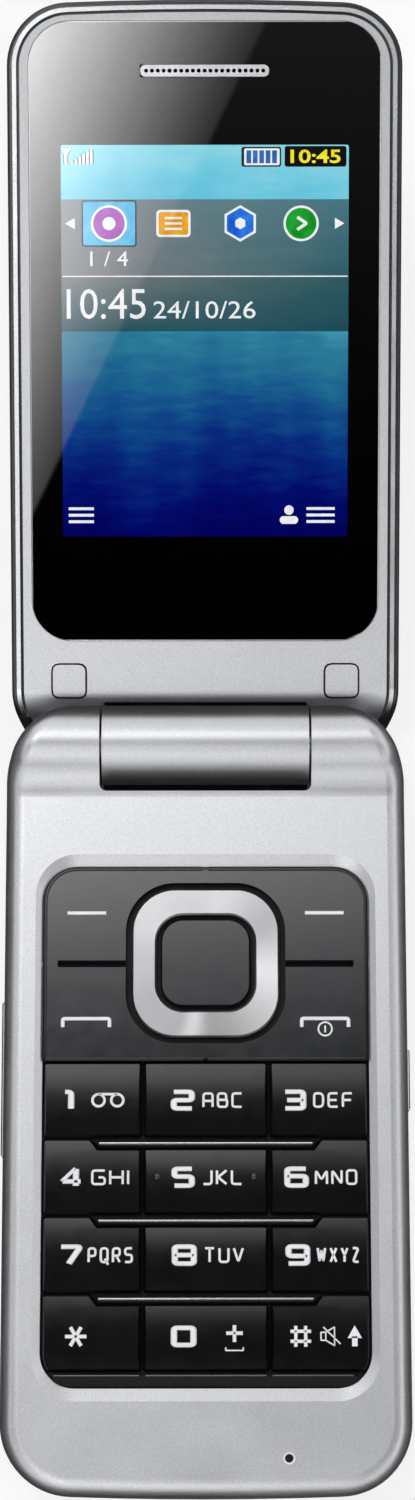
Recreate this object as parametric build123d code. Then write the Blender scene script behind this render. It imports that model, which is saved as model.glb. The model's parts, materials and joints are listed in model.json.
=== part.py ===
from build123d import *
from math import acos, atan2, cos, radians, sin, sqrt
import os

# Flip phone, modelled open on its back. Millimetres.
# Origin: centre of the flat back of the base. +X right, +Y towards the hinge, +Z out of the keypad.
# Lid pieces are drawn in hinge coordinates (origin on the hinge axis, lid lying flat along +Y with
# its inner face up) and are then turned to the open angle.

# ---------------------------------------------------------------- overall sizes
phone_width = 52.0
phone_length = 102.0
open_angle = 160.0
end_crown = 0.7
hinge_end_overrun = 0.6
chin_corner_radius = 9.2
shoulder_corner_radius = 11.0
top_edge_radius = 2.4
back_edge_radius = 1.2

# ---------------------------------------------------------------- general clearances
fit_gap = 0.05
slide_gap = 0.1
moving_gap = 0.3
cut_over = 1.0

# ---------------------------------------------------------------- layers of the base, back to face
cover_thickness = 1.2
battery_lift = 0.2
battery_thickness = 3.8
battery_headroom = 0.1
bay_ceiling = 0.4
can_height = 0.7
board_thickness = 0.8
dome_sheet_thickness = 0.15
dome_height = 0.2
web_thickness = 0.3
web_headroom = 0.15
key_height = 0.85
key_sink = 0.2
floor_wall = 0.8
board_above_parting = 2.1
board_above_side_keys = 1.9

# ---------------------------------------------------------------- base shells
shell_wall = 1.2
ridge_blend_radius = 6.0
heel_behind_axis = 0.5
cover_tongue_length = 1.2
cover_tongue_half = 12.0
cover_tongue_low_z = 0.35
cover_tongue_thickness = 0.7
speaker_slot_pitch = 2.4
speaker_slot_half_width = 0.4
speaker_slot_half_length = 3.0
speaker_slot_count = 4

# ---------------------------------------------------------------- hinge
hinge_radius = 5.2
hinge_below_face = 2.4
barrel_half = 13.5
barrel_wall = 1.5
barrel_end_wall = 2.2
recess_reach = 6.6
recess_corner_radius = 0.9
knuckle_bore_depth = 5.7
bearing_radius = 2.0
bearing_fit = 0.08
pin_wall = 0.5
pin_in_knuckle = 1.4
pin_in_barrel = 1.7
sleeve_wall = 0.5
sleeve_length = 12.4
cam_length = 2.4
cam_inset = 0.6
shaft_radius = 1.2
shaft_head_length = 4.2
shaft_flat_half = 1.6
shaft_end_gap = 0.8
follower_length = 2.6
follower_gap = 0.15
spring_wire_radius = 0.35
spring_coil_radius = 2.2
spring_turns = 5
rivet_length = 0.8
rivet_radius = 1.9

# ---------------------------------------------------------------- keypad
window_border = 5.05
window_below_recess = 10.0
window_corner_radius = 4.4
window_rim_side = 1.0
window_rim_end = 1.6
window_rim_depth = 0.6
web_margin = 1.35
key_split = 0.06
key_skirt = 0.25
key_bevel = 0.45
key_crown = 0.16
key_corner_radius = 0.5
stem_radius = 1.2
stem_length = 0.4
stem_clearance = 0.4
row_count = 4
chin_border = 13.6
middle_key_half = 8.05
rib_reach = 6.25
rib_slant = 1.0
rib_drop = 0.32
rib_height = 0.89
rib_sink = 0.2
rib_bevel = 0.2
chin_strip_gap = 0.27
chin_strip_height = 1.55
chin_strip_inset = 1.55
chin_strip_corner_radius = 0.6
function_margin = 0.15
function_height = 25.15
function_corner_radius = 4.2
function_bevel = 0.25
soft_key_height = 12.575
slit_half = 0.48
slit_end_bridge = 1.78
ring_shift = 0.125
ring_outer_x = 9.5
ring_outer_y = 9.64
ring_outer_radius = 5.6
ring_band_x = 3.15
ring_band_y = 3.39
ring_inner_radius = 3.5
ring_gap = 0.8
ring_thickness = 0.5
ring_bevel = 0.22
ring_rise = 0.1
rocker_rise = 0.25
rocker_thickness = 0.25
rocker_inset = 0.3
select_gap = 0.55
dome_radius = 2.2
mic_x = 10.4
mic_from_chin = 5.0
mic_hole_radius = 0.45
mic_radius = 1.9
mic_height = 0.8

# ---------------------------------------------------------------- inside the base
side_bay_width = 6.2
battery_play = 0.3
bay_wall = 0.8
chin_bay_length = 22.0
card_pocket_length = 15.3
card_end_wall = 0.6
sim_socket_width = 27.0
sim_socket_height = 2.0
socket_gap = 0.6
memory_socket_height = 1.9
socket_skin = 0.4
socket_wall = 0.8
contact_half = 4.5
contact_depth = 2.8
contact_pitch = 2.8
contact_finger_half = 0.6
contact_finger_low_z = 3.0
contact_finger_height = 1.2
can_side_gap = 1.3
can_end_gap = 2.5
can_between = 2.5
chin_part_gap = 0.9
chin_part_inset = 3.8
speaker_from_boss = 1.6
speaker_half_width = 7.0
speaker_half_length = 6.0
speaker_rim = 1.6
antenna_from_boss = 1.1
antenna_from_speaker = 2.3
antenna_wall = 1.0
motor_y = -20.0
motor_radius = 1.95
motor_length = 9.0
motor_weight_radius = 1.8
motor_weight_length = 2.6
motor_shaft_radius = 0.4
board_side_gap = 0.8
board_end_gap = 1.4
board_corner_radius = 7.0
screw_radius = 0.8
screw_head_radius = 1.6
screw_head_length = 0.9
screw_slot_half_length = 1.0
screw_slot_half_width = 0.2
screw_slot_depth = 0.45
boss_radius = 2.2
high_boss_from_knuckle = 4.6
low_boss_inset = 2.0
low_boss_from_chin = 6.7

# ---------------------------------------------------------------- side keys and connector
side_key_height = 2.6
side_key_proud = 0.35
side_key_play = 0.15
side_key_flange = 0.4
side_key_flange_gap = 0.3
side_key_flange_lip = 0.4
camera_key_y = 1.85
camera_key_length = 7.9
camera_switch_gap = 0.3
volume_key_y = 2.0
volume_key_length = 20.0
volume_switch_offset = 7.5
volume_switch_gap = 0.15
switch_depth = 1.6
switch_half = 1.7
switch_nose = 0.4
switch_nose_half = 0.6
connector_high_y = -16.0
connector_length = 16.0
connector_cover_height = 3.4
connector_cover_thickness = 0.9
connector_plug_depth = 1.0
connector_plug_height = 1.4
connector_plug_inset = 3.2
connector_grip = 1.2
connector_shell_inset = 1.6
connector_shell_height = 3.0
connector_skin = 0.4
connector_back = 1.0
connector_setback = 0.25

# ---------------------------------------------------------------- lid
lid_closed_gap = 0.3
lid_side_step = 0.5
lid_end_step = 0.5
lid_scoop_gap = 0.25
lid_lip_step = 0.5
lid_tail = 2.0
lid_tail_thickness = 1.23
lid_back_curve_start = 14.0
lid_low_corner_radius = 11.4
lid_low_corner_v = 7.5
lid_high_corner_radius = 8.0
lid_back_edge_radius = 2.2
lid_back_edge_zone = 0.9
lid_face_edge_radius = 0.4
lid_rim = 0.6
trim_width = 0.55
trim_height = 1.6
trim_groove = 0.4
inner_plate = 1.3
inner_skirt = 0.9
lid_block_v = 11.6
neck_below_face = 0.7
frame_side = 2.75
frame_low_v = 13.5
frame_end = 2.7
glass_corner_radius = 5.4
glass_sink = 0.05
glass_thickness = 0.9
display_side_border = 4.1
display_low_border = 13.7
display_high_border = 15.7
lcd_border_x = 1.95
lcd_border_low = 4.6
lcd_border_high = 3.7
lcd_gap = 0.2
lcd_thickness = 2.0
lcd_frame_wall = 0.6
lcd_frame_floor = 0.2
lid_board_gap = 0.65
lid_board_thickness = 0.8
lid_board_side_gap = 2.0
lid_board_end_gap = 1.6
lid_board_corner_radius = 3.0
lid_foot_height = 1.0
lid_foot_radius = 1.4
lid_foot_inset_x = 6.0
lid_foot_inset_v = 6.0
lid_foot_rows = 3
lid_back_wall = 1.2
grille_half = 8.3
grille_from_top = 6.3
grille_height = 1.5
grille_holes = 21
grille_hole_radius = 0.26
grille_thickness = 0.6
earpiece_half_x = 7.5
earpiece_half_y = 3.0
earpiece_depth = 2.3
earpiece_corner_radius = 1.5
cap_half = 2.22
cap_corner_radius = 1.0
cap_from_side = 7.5
cap_v = 8.2
cap_thickness = 0.6
lid_screw_head_length = 0.95
lid_screw_depth = 3.55
camera_half = 4.1
camera_clearance = 1.3
camera_gap = 0.6
camera_body_length = 3.9
lens_radius = 2.6
camera_window_radius = 3.3
camera_window_thickness = 0.6
cable_thickness = 0.15
cable_from_barrel_end = 2.9
cable_width = 4.2
cable_below_plate = 0.1
cable_turn_from_block = 3.4
cable_on_board = 2.9
cable_slot_gap = 0.3
roll_radius = 2.5
roll_bore_radius = 1.6
base_roll_radius = 1.2
base_cable_width = 3.2
base_cable_overlap = 5.2

# ---------------------------------------------------------------- values that follow
battery_z = cover_thickness + battery_lift
housing_z = cover_thickness + slide_gap
floor_z = housing_z + floor_wall
bay_top_z = battery_z + battery_thickness + battery_headroom
can_z = bay_top_z + bay_ceiling + slide_gap
board_z = can_z + can_height
board_top_z = board_z + board_thickness
dome_top_z = board_top_z + dome_sheet_thickness + dome_height
web_z = dome_top_z + slide_gap
web_top_z = web_z + web_thickness
face_inside_z = web_top_z + web_headroom
key_foot_z = web_top_z + moving_gap
key_top_z = key_foot_z + key_height
base_height = key_top_z + key_sink
rib_top_z = key_top_z - rib_sink
parting_z = board_z - board_above_parting
side_key_z = board_z - board_above_side_keys

hinge_axis_z = base_height - hinge_below_face
hinge_axis_y = phone_length / 2 - hinge_radius
hinge_end_y = phone_length / 2
chin_y = -phone_length / 2
inner_half = phone_width / 2 - shell_wall
recess_edge_y = hinge_axis_y - recess_reach
knuckle_front_y = recess_edge_y - shell_wall
cover_end_y = knuckle_front_y
knuckle_x = barrel_half + moving_gap
pin_outer_x = knuckle_x + pin_in_knuckle
pin_inner_x = barrel_half - pin_in_barrel
barrel_bore_radius = hinge_radius - barrel_wall
sleeve_radius = barrel_bore_radius - slide_gap
sleeve_bore_radius = sleeve_radius - sleeve_wall
sleeve_start_x = barrel_half - sleeve_length - fit_gap
cam_end_x = barrel_half - cam_inset
cam_start_x = cam_end_x - cam_length
shaft_end_x = sleeve_start_x + shaft_end_gap
follower_end_x = cam_start_x - follower_gap

window_half = phone_width / 2 - window_border
window_top_y = recess_edge_y - window_below_recess
function_top_y = window_top_y - function_margin
row_start_y = function_top_y - function_height
window_low_y = chin_y + chin_border
chin_strip_low_y = window_low_y + 2 * slide_gap
chin_strip_top_y = chin_strip_low_y + chin_strip_height
rows_low_y = chin_strip_top_y + chin_strip_gap
row_pitch = (row_start_y - rows_low_y) / row_count
function_half = window_half - 2 * key_split
function_split_y = function_top_y - soft_key_height
navigation_y = function_split_y + ring_shift
ring_inner_x = ring_outer_x - ring_band_x
ring_inner_y = ring_outer_y - ring_band_y
ring_top_z = key_top_z + ring_rise
ring_bottom_z = ring_top_z - ring_thickness
ring_opening_x = ring_outer_x + ring_gap
ring_opening_y = ring_outer_y + ring_gap
rocker_z = web_top_z + rocker_rise
slit_reach = function_half - slit_end_bridge
function_stem_x = (ring_opening_x + function_half) / 2
soft_stem_y = (function_top_y + function_split_y) / 2
call_stem_y = (row_start_y + function_split_y) / 2
side_key_x = (middle_key_half + window_half) / 2
rib_half = middle_key_half + rib_reach
select_half_x = ring_inner_x - select_gap
select_half_y = ring_inner_y - select_gap
mic_y = chin_y + mic_from_chin

bay_outer_half = inner_half - side_bay_width
bay_half = bay_outer_half - bay_wall
battery_half = bay_half - battery_play
card_high_y = knuckle_front_y - card_end_wall
card_low_y = card_high_y - card_pocket_length
battery_high_y = card_low_y - bay_wall - battery_play
battery_low_y = chin_y + chin_bay_length
contact_high_y = battery_low_y - battery_play - bay_wall / 2
contact_low_y = contact_high_y - contact_depth
chin_part_high_y = contact_low_y - chin_part_gap
chin_part_low_y = chin_y + chin_part_inset
board_half = inner_half - board_side_gap
board_low_y = chin_y + shell_wall + board_end_gap
board_high_y = knuckle_front_y - board_side_gap
high_boss_x = inner_half - boss_radius - moving_gap
high_boss_y = knuckle_front_y - high_boss_from_knuckle
low_boss_x = high_boss_x - low_boss_inset
low_boss_y = chin_y + low_boss_from_chin
screw_places = [
    (-high_boss_x, high_boss_y), (high_boss_x, high_boss_y), (-low_boss_x, low_boss_y), (low_boss_x, low_boss_y),
]
card_side_x = high_boss_x - boss_radius - 2 * moving_gap
speaker_x = low_boss_x - boss_radius - speaker_from_boss - speaker_half_width
speaker_y = (chin_part_high_y + chin_part_low_y) / 2
antenna_low_x = boss_radius + antenna_from_boss - low_boss_x
antenna_high_x = speaker_x - speaker_half_width - antenna_from_speaker
connector_low_y = connector_high_y - connector_length
flange_front_x = inner_half - side_key_flange_gap
flange_back_x = flange_front_x - side_key_flange

# Lid: v is the distance from the hinge axis along the lid, w the depth below the axis.
lid_half = phone_width / 2 - lid_side_step
lid_reach = hinge_axis_y - chin_y - lid_end_step
lid_face_w = hinge_below_face + lid_closed_gap
plate_w = lid_face_w + inner_plate
glass_w = lid_face_w + glass_sink
glass_seat_w = glass_w + glass_thickness + fit_gap
lcd_w = glass_seat_w + lcd_gap
lcd_back_w = lcd_w + lcd_thickness
lcd_frame_back_w = lcd_back_w + fit_gap + lcd_frame_floor
lid_board_w = lcd_frame_back_w + lid_board_gap
lid_board_back_w = lid_board_w + lid_board_thickness
lid_back_inside_w = lid_board_back_w + lid_foot_height
lid_back_w = lid_back_inside_w + lid_back_wall
scoop_radius = hinge_radius + lid_scoop_gap
lid_split_w = scoop_radius - fit_gap
neck_w = lid_face_w + neck_below_face
lip_radius = ridge_blend_radius - lid_lip_step
trim_outer_inset = lid_rim + fit_gap
trim_inner_inset = trim_outer_inset + trim_width
inner_cover_inset = trim_inner_inset + trim_groove
inner_cavity_half = lid_half - inner_cover_inset - inner_skirt
glass_half = lid_half - frame_side
glass_low_v = frame_low_v
glass_high_v = lid_reach - frame_end
display_half = glass_half - display_side_border
display_low_v = glass_low_v + display_low_border
display_high_v = glass_high_v - display_high_border
lcd_half = display_half + lcd_border_x
lcd_low_v = display_low_v - lcd_border_low
lcd_high_v = display_high_v + lcd_border_high
grille_v = glass_high_v - grille_from_top
camera_v = lid_block_v + camera_clearance + camera_half
camera_w = plate_w + camera_gap
camera_back_w = camera_w + camera_body_length
lid_board_half = inner_cavity_half - lid_board_side_gap
lid_board_low_v = camera_v + camera_half + 2 * lid_board_side_gap
lid_board_high_v = glass_high_v - lid_board_end_gap
cap_x = lid_half - cap_from_side
lid_screw_seat_w = lid_face_w + cap_thickness + lid_screw_head_length + 5 * fit_gap
lid_screw_end_w = lid_screw_seat_w + lid_screw_depth
cable_left_x = cable_from_barrel_end - barrel_half
cable_right_x = cable_left_x + cable_width
cable_w = plate_w + cable_below_plate
cable_turn_v = lid_block_v + cable_turn_from_block
cable_end_v = lid_board_low_v + cable_on_board


# ---------------------------------------------------------------- drawing helpers
def block(x0, x1, y0, y1, z0, z1):
    """A box between two corners."""
    centre = Pos((x0 + x1) / 2, (y0 + y1) / 2, (z0 + z1) / 2)
    return centre * Box(x1 - x0, y1 - y0, z1 - z0)


def post(radius, x, y, z0, z1):
    """An upright cylinder."""
    return Pos(x, y, (z0 + z1) / 2) * Cylinder(radius, z1 - z0)


def rod(radius, x0, x1, y, z):
    """A cylinder along X."""
    return Pos((x0 + x1) / 2, y, z) * Rot(0, 90, 0) * Cylinder(radius, x1 - x0)


def raised(face, z0, z1):
    """A flat face lifted between two heights."""
    return extrude(Pos(0, 0, z0) * face, amount=z1 - z0, dir=(0, 0, 1))


def rounded(x_half, y0, y1, radius, x_centre=0.0):
    """A rounded rectangle between two Y values."""
    return Pos(x_centre, (y0 + y1) / 2) * RectangleRounded(2 * x_half, y1 - y0, radius)


def rounded_block(x_half, y0, y1, z0, z1, radius, x_centre=0.0):
    """A block with rounded upright corners."""
    return raised(rounded(x_half, y0, y1, radius, x_centre), z0, z1)


def crowned_outline(half, y_low, y_high, low_radius, high_radius, crown):
    """A plan outline with straight sides, softly crowned ends and round corners."""
    low_edge = ThreePointArc((-half, y_low + crown), (0, y_low), (half, y_low + crown))
    right_edge = Line((half, y_low + crown), (half, y_high - crown))
    high_edge = ThreePointArc((half, y_high - crown), (0, y_high), (-half, y_high - crown))
    left_edge = Line((-half, y_high - crown), (-half, y_low + crown))
    outline = make_face([low_edge, right_edge, high_edge, left_edge])
    outline = fillet(outline.vertices().sort_by(Axis.Y)[:2], low_radius)
    high_corners = [v for v in outline.vertices() if v.Y > y_high - crown - fit_gap]
    return fillet(high_corners, high_radius)


def bevelled_prism(face, z0, z1, skirt, bevel):
    """A prism that rises straight for a skirt and then narrows to its top."""
    prism = raised(face, z0, z1).solid()
    top = prism.faces().sort_by(Axis.Z)[-1]
    return chamfer(top.edges(), length=bevel, length2=z1 - z0 - skirt, reference=top)


def window_outline(inset):
    """Outline of the keypad window, drawn in by an inset."""
    return rounded(
        window_half - inset, window_low_y + inset, window_top_y - inset, window_corner_radius - inset,
    )


# ---------------------------------------------------------------- base envelope
def base_outline(inset):
    """Plan of the base, drawn in by an inset."""
    return crowned_outline(
        phone_width / 2 - inset,
        chin_y + inset,
        phone_length / 2 + hinge_end_overrun - inset,
        chin_corner_radius - inset,
        shoulder_corner_radius - inset,
        end_crown,
    )


def base_side_profile():
    """Side view of the base: flat back, heel, round hinge end and the blend down to the face."""
    blend_reach = hinge_radius + ridge_blend_radius
    blend_angle = acos((base_height - hinge_axis_z + ridge_blend_radius) / blend_reach)
    blend_y = hinge_axis_y - blend_reach * sin(blend_angle)
    crest = (hinge_axis_y - hinge_radius * sin(blend_angle), hinge_axis_z + hinge_radius * cos(blend_angle))
    blend_middle = (
        blend_y + ridge_blend_radius * sin(blend_angle / 2),
        base_height + ridge_blend_radius * (1 - cos(blend_angle / 2)),
    )
    heel_y = hinge_axis_y - heel_behind_axis
    heel_top = (heel_y, hinge_axis_z - sqrt(hinge_radius**2 - heel_behind_axis**2))
    far_y = chin_y - cut_over
    return make_face([
        Line((far_y, 0), (heel_y, 0)),
        Line((heel_y, 0), heel_top),
        ThreePointArc(heel_top, (hinge_axis_y + hinge_radius, hinge_axis_z), crest),
        ThreePointArc(crest, blend_middle, (blend_y, base_height)),
        Line((blend_y, base_height), (far_y, base_height)),
        Line((far_y, base_height), (far_y, 0)),
    ])


def is_centre_line_edge(edge):
    """True for an edge that runs straight across the phone at the hinge."""
    box = edge.bounding_box()
    return box.max.Y - box.min.Y < fit_gap and box.min.Y > 0


def make_base_envelope():
    """Outer shape of the closed base, with its edges rounded."""
    side = extrude(Plane.YZ * base_side_profile(), amount=phone_width, both=True)
    envelope = (side & raised(base_outline(0), -cut_over, hinge_axis_z + hinge_radius + cut_over)).solid()
    top_edges = [
        edge for edge in envelope.edges()
        if edge.bounding_box().min.Z > base_height - fit_gap and not is_centre_line_edge(edge)
    ]
    envelope = fillet(top_edges, top_edge_radius).solid()
    back_edges = [
        edge for edge in envelope.edges()
        if edge.bounding_box().max.Z < fit_gap and not is_centre_line_edge(edge)
    ]
    return fillet(back_edges, back_edge_radius).solid()


base_envelope = make_base_envelope()


def envelope_between(z0, z1, y0=chin_y - cut_over, y1=phone_length):
    """The slice of the base envelope between two heights and two Y values."""
    return base_envelope & block(-phone_width, phone_width, y0, y1, z0, z1)


def barrel_recess():
    """Room for the lid's barrel between the knuckles."""
    pit = block(
        -knuckle_x, knuckle_x, recess_edge_y, phone_length / 2 + cut_over,
        parting_z - cut_over, hinge_axis_z + hinge_radius + cut_over,
    )
    upright = [edge for edge in pit.edges().filter_by(Axis.Z) if edge.center().Y < recess_edge_y + fit_gap]
    pit = fillet(upright, recess_corner_radius)
    return pit + rod(hinge_radius + moving_gap, -knuckle_x, knuckle_x, hinge_axis_y, hinge_axis_z)


def side_key_opening(side, y, length):
    """Slot in a side wall for a key."""
    return block(
        min(side * (inner_half - cut_over), side * phone_width),
        max(side * (inner_half - cut_over), side * phone_width),
        y - length / 2 - side_key_play, y + length / 2 + side_key_play,
        side_key_z - side_key_height / 2 - side_key_play, side_key_z + side_key_height / 2 + side_key_play,
    )


def connector_opening():
    """Slot in the right wall for the connector and its cover."""
    return block(
        inner_half - cut_over, phone_width,
        connector_low_y - side_key_play, connector_high_y + side_key_play,
        side_key_z - connector_cover_height / 2 - side_key_play,
        side_key_z + connector_cover_height / 2 + side_key_play,
    )


def side_openings():
    """All slots in the side walls."""
    return (
        side_key_opening(1, camera_key_y, camera_key_length)
        + side_key_opening(-1, volume_key_y, volume_key_length)
        + connector_opening()
    )


def across(half_height, z):
    """A full-width slice of the hinge region, used to put flats on round pieces."""
    return block(0, phone_width, 0, phone_length, z - half_height, z + half_height)


def hinge_bores():
    """Sockets in the knuckles: round on the left for the pin, flat-sided on the right for the shaft."""
    socket_radius = bearing_radius + fit_gap
    socket_end_x = -knuckle_x - knuckle_bore_depth
    pin_socket = rod(socket_radius, socket_end_x, -barrel_half, hinge_axis_y, hinge_axis_z)
    cable_slot = block(
        -pin_outer_x - base_cable_width - 3 * slide_gap - moving_gap, -pin_outer_x + slide_gap,
        knuckle_front_y - cut_over, hinge_axis_y, hinge_axis_z - moving_gap, board_top_z + 2 * moving_gap,
    )
    shaft_socket = rod(
        socket_radius, barrel_half, knuckle_x + shaft_head_length + fit_gap, hinge_axis_y, hinge_axis_z,
    )
    return pin_socket + cable_slot + (shaft_socket & across(shaft_flat_half + fit_gap, hinge_axis_z))


# ---------------------------------------------------------------- base shells
def base_hollow(z0, z1):
    """Inside of the base between two heights, up to the wall in front of the hinge."""
    hollow = raised(base_outline(shell_wall), z0, z1)
    return hollow & block(-phone_width, phone_width, -phone_length, knuckle_front_y, z0, z1)


def base_front_cover():
    """Silver upper shell with the keypad window and the hinge knuckles."""
    shell = envelope_between(parting_z, phone_length) - base_hollow(parting_z - cut_over, face_inside_z)
    window = window_outline(0)
    shell = shell - raised(window, face_inside_z - cut_over, base_height + cut_over)
    rim = rounded(
        window_half + window_rim_side, window_low_y - window_rim_end, window_top_y + window_rim_end,
        window_corner_radius + window_rim_side,
    )
    shell = shell - loft([Pos(0, 0, base_height - window_rim_depth) * window, Pos(0, 0, base_height) * rim])
    shell = shell - barrel_recess() - hinge_bores() - side_openings()
    shell = shell - post(mic_hole_radius, mic_x, mic_y, face_inside_z - cut_over, base_height + cut_over)
    for x, y in screw_places:
        shell = shell + post(boss_radius, x, y, board_top_z, face_inside_z)
        shell = shell - post(screw_radius + fit_gap, x, y, board_top_z - cut_over, face_inside_z + fit_gap)
    return shell


def base_rear_housing():
    """Lower shell: side walls, floor, battery bay, screw posts and the heel under the hinge."""
    heel = envelope_between(-cut_over, parting_z, cover_end_y + slide_gap, phone_length)
    tray = envelope_between(housing_z, parting_z, chin_y - cut_over, cover_end_y + slide_gap)
    bay = block(
        -bay_outer_half, bay_outer_half,
        battery_low_y - battery_play - bay_wall, battery_high_y + battery_play + bay_wall,
        floor_z, bay_top_z + bay_ceiling,
    )
    housing = tray + heel - base_hollow(floor_z, base_height) + bay
    for x, y in screw_places:
        housing = housing + post(boss_radius, x, y, floor_z - fit_gap, board_z)
    battery_pocket = block(
        -bay_half, bay_half, battery_low_y - battery_play, battery_high_y + battery_play, -cut_over, bay_top_z,
    )
    card_pocket = block(
        -card_side_x - bay_ceiling, card_side_x + bay_ceiling, card_low_y, card_high_y,
        -cut_over, floor_z + cut_over,
    )
    contact_notch = block(
        -contact_half - slide_gap, contact_half + slide_gap, contact_low_y - slide_gap, battery_low_y,
        floor_z - fit_gap, board_z,
    )
    housing = housing - barrel_recess() - side_openings() - hinge_bores()
    housing = housing - battery_pocket - card_pocket - contact_notch - cover_tongue(slide_gap)
    housing = housing - speaker_slots(speaker_slot_half_width + slide_gap, floor_z + fit_gap)
    for x, y in screw_places:
        housing = housing - post(screw_radius + slide_gap, x, y, -cut_over, base_height)
        housing = housing - post(screw_head_radius + slide_gap, x, y, -cut_over, housing_z + screw_head_length)
    return housing


def cover_tongue(gap):
    """Tongue of the battery cover that hooks under the heel."""
    return block(
        -cover_tongue_half - gap, cover_tongue_half + gap,
        cover_end_y - cut_over, cover_end_y + cover_tongue_length + gap,
        cover_tongue_low_z - gap, cover_tongue_low_z + cover_tongue_thickness + gap,
    )


def speaker_slots(half_width, top_z):
    """Sound slots through the back, under the loudspeaker."""
    half_length = speaker_slot_half_length + half_width - speaker_slot_half_width
    slots = []
    for index in range(speaker_slot_count):
        x = speaker_x + (index - (speaker_slot_count - 1) / 2) * speaker_slot_pitch
        slots.append(block(
            x - half_width, x + half_width, speaker_y - half_length, speaker_y + half_length, -cut_over, top_z,
        ))
    return slots


def battery_cover():
    """Back panel that slides off over the chin."""
    panel = envelope_between(-cut_over, cover_thickness, chin_y - cut_over, cover_end_y)
    return panel + cover_tongue(0) - speaker_slots(speaker_slot_half_width, base_height)


# ---------------------------------------------------------------- keypad
def row_top(row):
    """Y of the line above a number row."""
    return row_start_y - row * row_pitch


def number_stem_y(row, column):
    """Middle of a number key's length, where its stem stands."""
    top = row_top(row) - key_split
    if row and column == 0:
        top -= rib_drop + rib_height
    return (top + row_top(row + 1) + key_split) / 2


def key_stem(x, y):
    """Stem under a key, over its dome."""
    return post(stem_radius, x, y, key_foot_z - stem_length, key_foot_z)


def crown(y0, y1):
    """A shallow roll over a key, highest in the middle of its length."""
    half = (y1 - y0) / 2
    radius = (half**2 + key_crown**2) / (2 * key_crown)
    return rod(radius, -phone_width, phone_width, (y0 + y1) / 2, key_top_z - radius)


def number_key(row, column):
    """One number key: a crowned, bevelled cap with a stem. Rows below the first are notched for the rib."""
    top = row_top(row) - key_split
    low = row_top(row + 1) + key_split
    notch = row_top(row) - rib_drop - rib_height - key_split
    if column == 0:
        right = middle_key_half - key_split
        top = notch if row else top
        corners = [(-right, low), (right, low), (right, top), (-right, top)]
    else:
        inner = middle_key_half + key_split
        outer = window_half - 2 * key_split
        corners = [(inner, low), (outer, low), (outer, top)]
        if row:
            step_x = rib_half + 2 * key_split + rib_slant / 4
            corners += [(step_x, top), (step_x - rib_slant, notch), (inner, notch)]
        else:
            corners += [(inner, top)]
        corners = [(column * x, y) for x, y in corners]
    face = make_face(Polyline(*corners, close=True))
    face = (face & window_outline(2 * key_split)).face()
    corners = [v for v in face.vertices() if abs(v.Y - low) < fit_gap or abs(v.Y - top) < fit_gap]
    face = fillet(corners, key_corner_radius)
    cap = bevelled_prism(face, key_foot_z, key_top_z, key_skirt, key_bevel) & crown(low, top)
    return cap + key_stem(column * side_key_x, number_stem_y(row, column))


def function_plate():
    """The dark plate round the ring, before it is split into its four keys."""
    outline = Pos(0, (function_top_y + row_start_y) / 2) * Rectangle(
        2 * function_half, function_top_y - row_start_y - key_split,
    )
    outline = fillet(outline.vertices().sort_by(Axis.Y)[2:], function_corner_radius)
    outline = fillet(outline.vertices().sort_by(Axis.Y)[:2], key_corner_radius)
    plate = bevelled_prism(outline, key_foot_z, key_top_z, key_top_z - key_foot_z - function_bevel, function_bevel)
    opening = rounded_block(
        ring_opening_x, navigation_y - ring_opening_y, navigation_y + ring_opening_y,
        key_foot_z - cut_over, key_top_z + cut_over, ring_outer_radius + ring_gap,
    )
    groove = make_face(Polyline(
        (function_split_y - key_split, key_foot_z - slide_gap),
        (function_split_y + key_split, key_foot_z - slide_gap),
        (function_split_y + slit_half, key_top_z + slide_gap),
        (function_split_y - slit_half, key_top_z + slide_gap),
        close=True,
    ))
    slit = extrude(Plane.YZ * groove, amount=slit_reach, both=True)
    return plate - opening - slit


def function_key(plate, side, upper):
    """One quarter of the function plate with its stem."""
    x_near = side * key_split
    x_far = side * phone_width
    y_near = function_split_y + (key_split if upper else -key_split)
    y_far = phone_length if upper else -phone_length
    quarter = plate & block(
        min(x_near, x_far), max(x_near, x_far), min(y_near, y_far), max(y_near, y_far), 0, base_height,
    )
    stem_y = soft_stem_y if upper else call_stem_y
    return quarter + key_stem(side * function_stem_x, stem_y)


def navigation_frame(outer_x, outer_y, outer_r, inner_x, inner_y, inner_r, z0, z1):
    """A square ring with round corners round the select key."""
    outer = rounded_block(outer_x, navigation_y - outer_y, navigation_y + outer_y, z0, z1, outer_r)
    inner = rounded_block(
        inner_x, navigation_y - inner_y, navigation_y + inner_y, z0 - cut_over, z1 + cut_over, inner_r,
    )
    return outer - inner


def nav_ring():
    """Bright four-way ring with a bevelled top."""
    ring = navigation_frame(
        ring_outer_x, ring_outer_y, ring_outer_radius,
        ring_inner_x, ring_inner_y, ring_inner_radius, ring_bottom_z, ring_top_z,
    )
    top_edges = [edge for edge in ring.edges() if edge.bounding_box().min.Z > ring_top_z - fit_gap]
    return chamfer(top_edges, ring_bevel)


def nav_rocker_plate():
    """Thin tilting frame under the ring."""
    return navigation_frame(
        ring_outer_x - rocker_inset, ring_outer_y - rocker_inset, ring_outer_radius,
        ring_inner_x, ring_inner_y, ring_inner_radius, rocker_z, rocker_z + rocker_thickness,
    )


def select_key():
    """Middle key of the ring."""
    face = rounded(
        select_half_x, navigation_y - select_half_y, navigation_y + select_half_y,
        ring_inner_radius - select_gap,
    )
    cap = bevelled_prism(face, key_foot_z, ring_top_z, 2 * key_skirt, key_bevel / 2)
    return cap + key_stem(0, navigation_y)


def key_centres():
    """Where each key's stem stands."""
    centres = [(0, navigation_y)]
    for side in (-1, 1):
        centres += [(side * function_stem_x, soft_stem_y), (side * function_stem_x, call_stem_y)]
    for row in range(row_count):
        for column in (-1, 0, 1):
            centres.append((column * side_key_x, number_stem_y(row, column)))
    return centres


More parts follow.
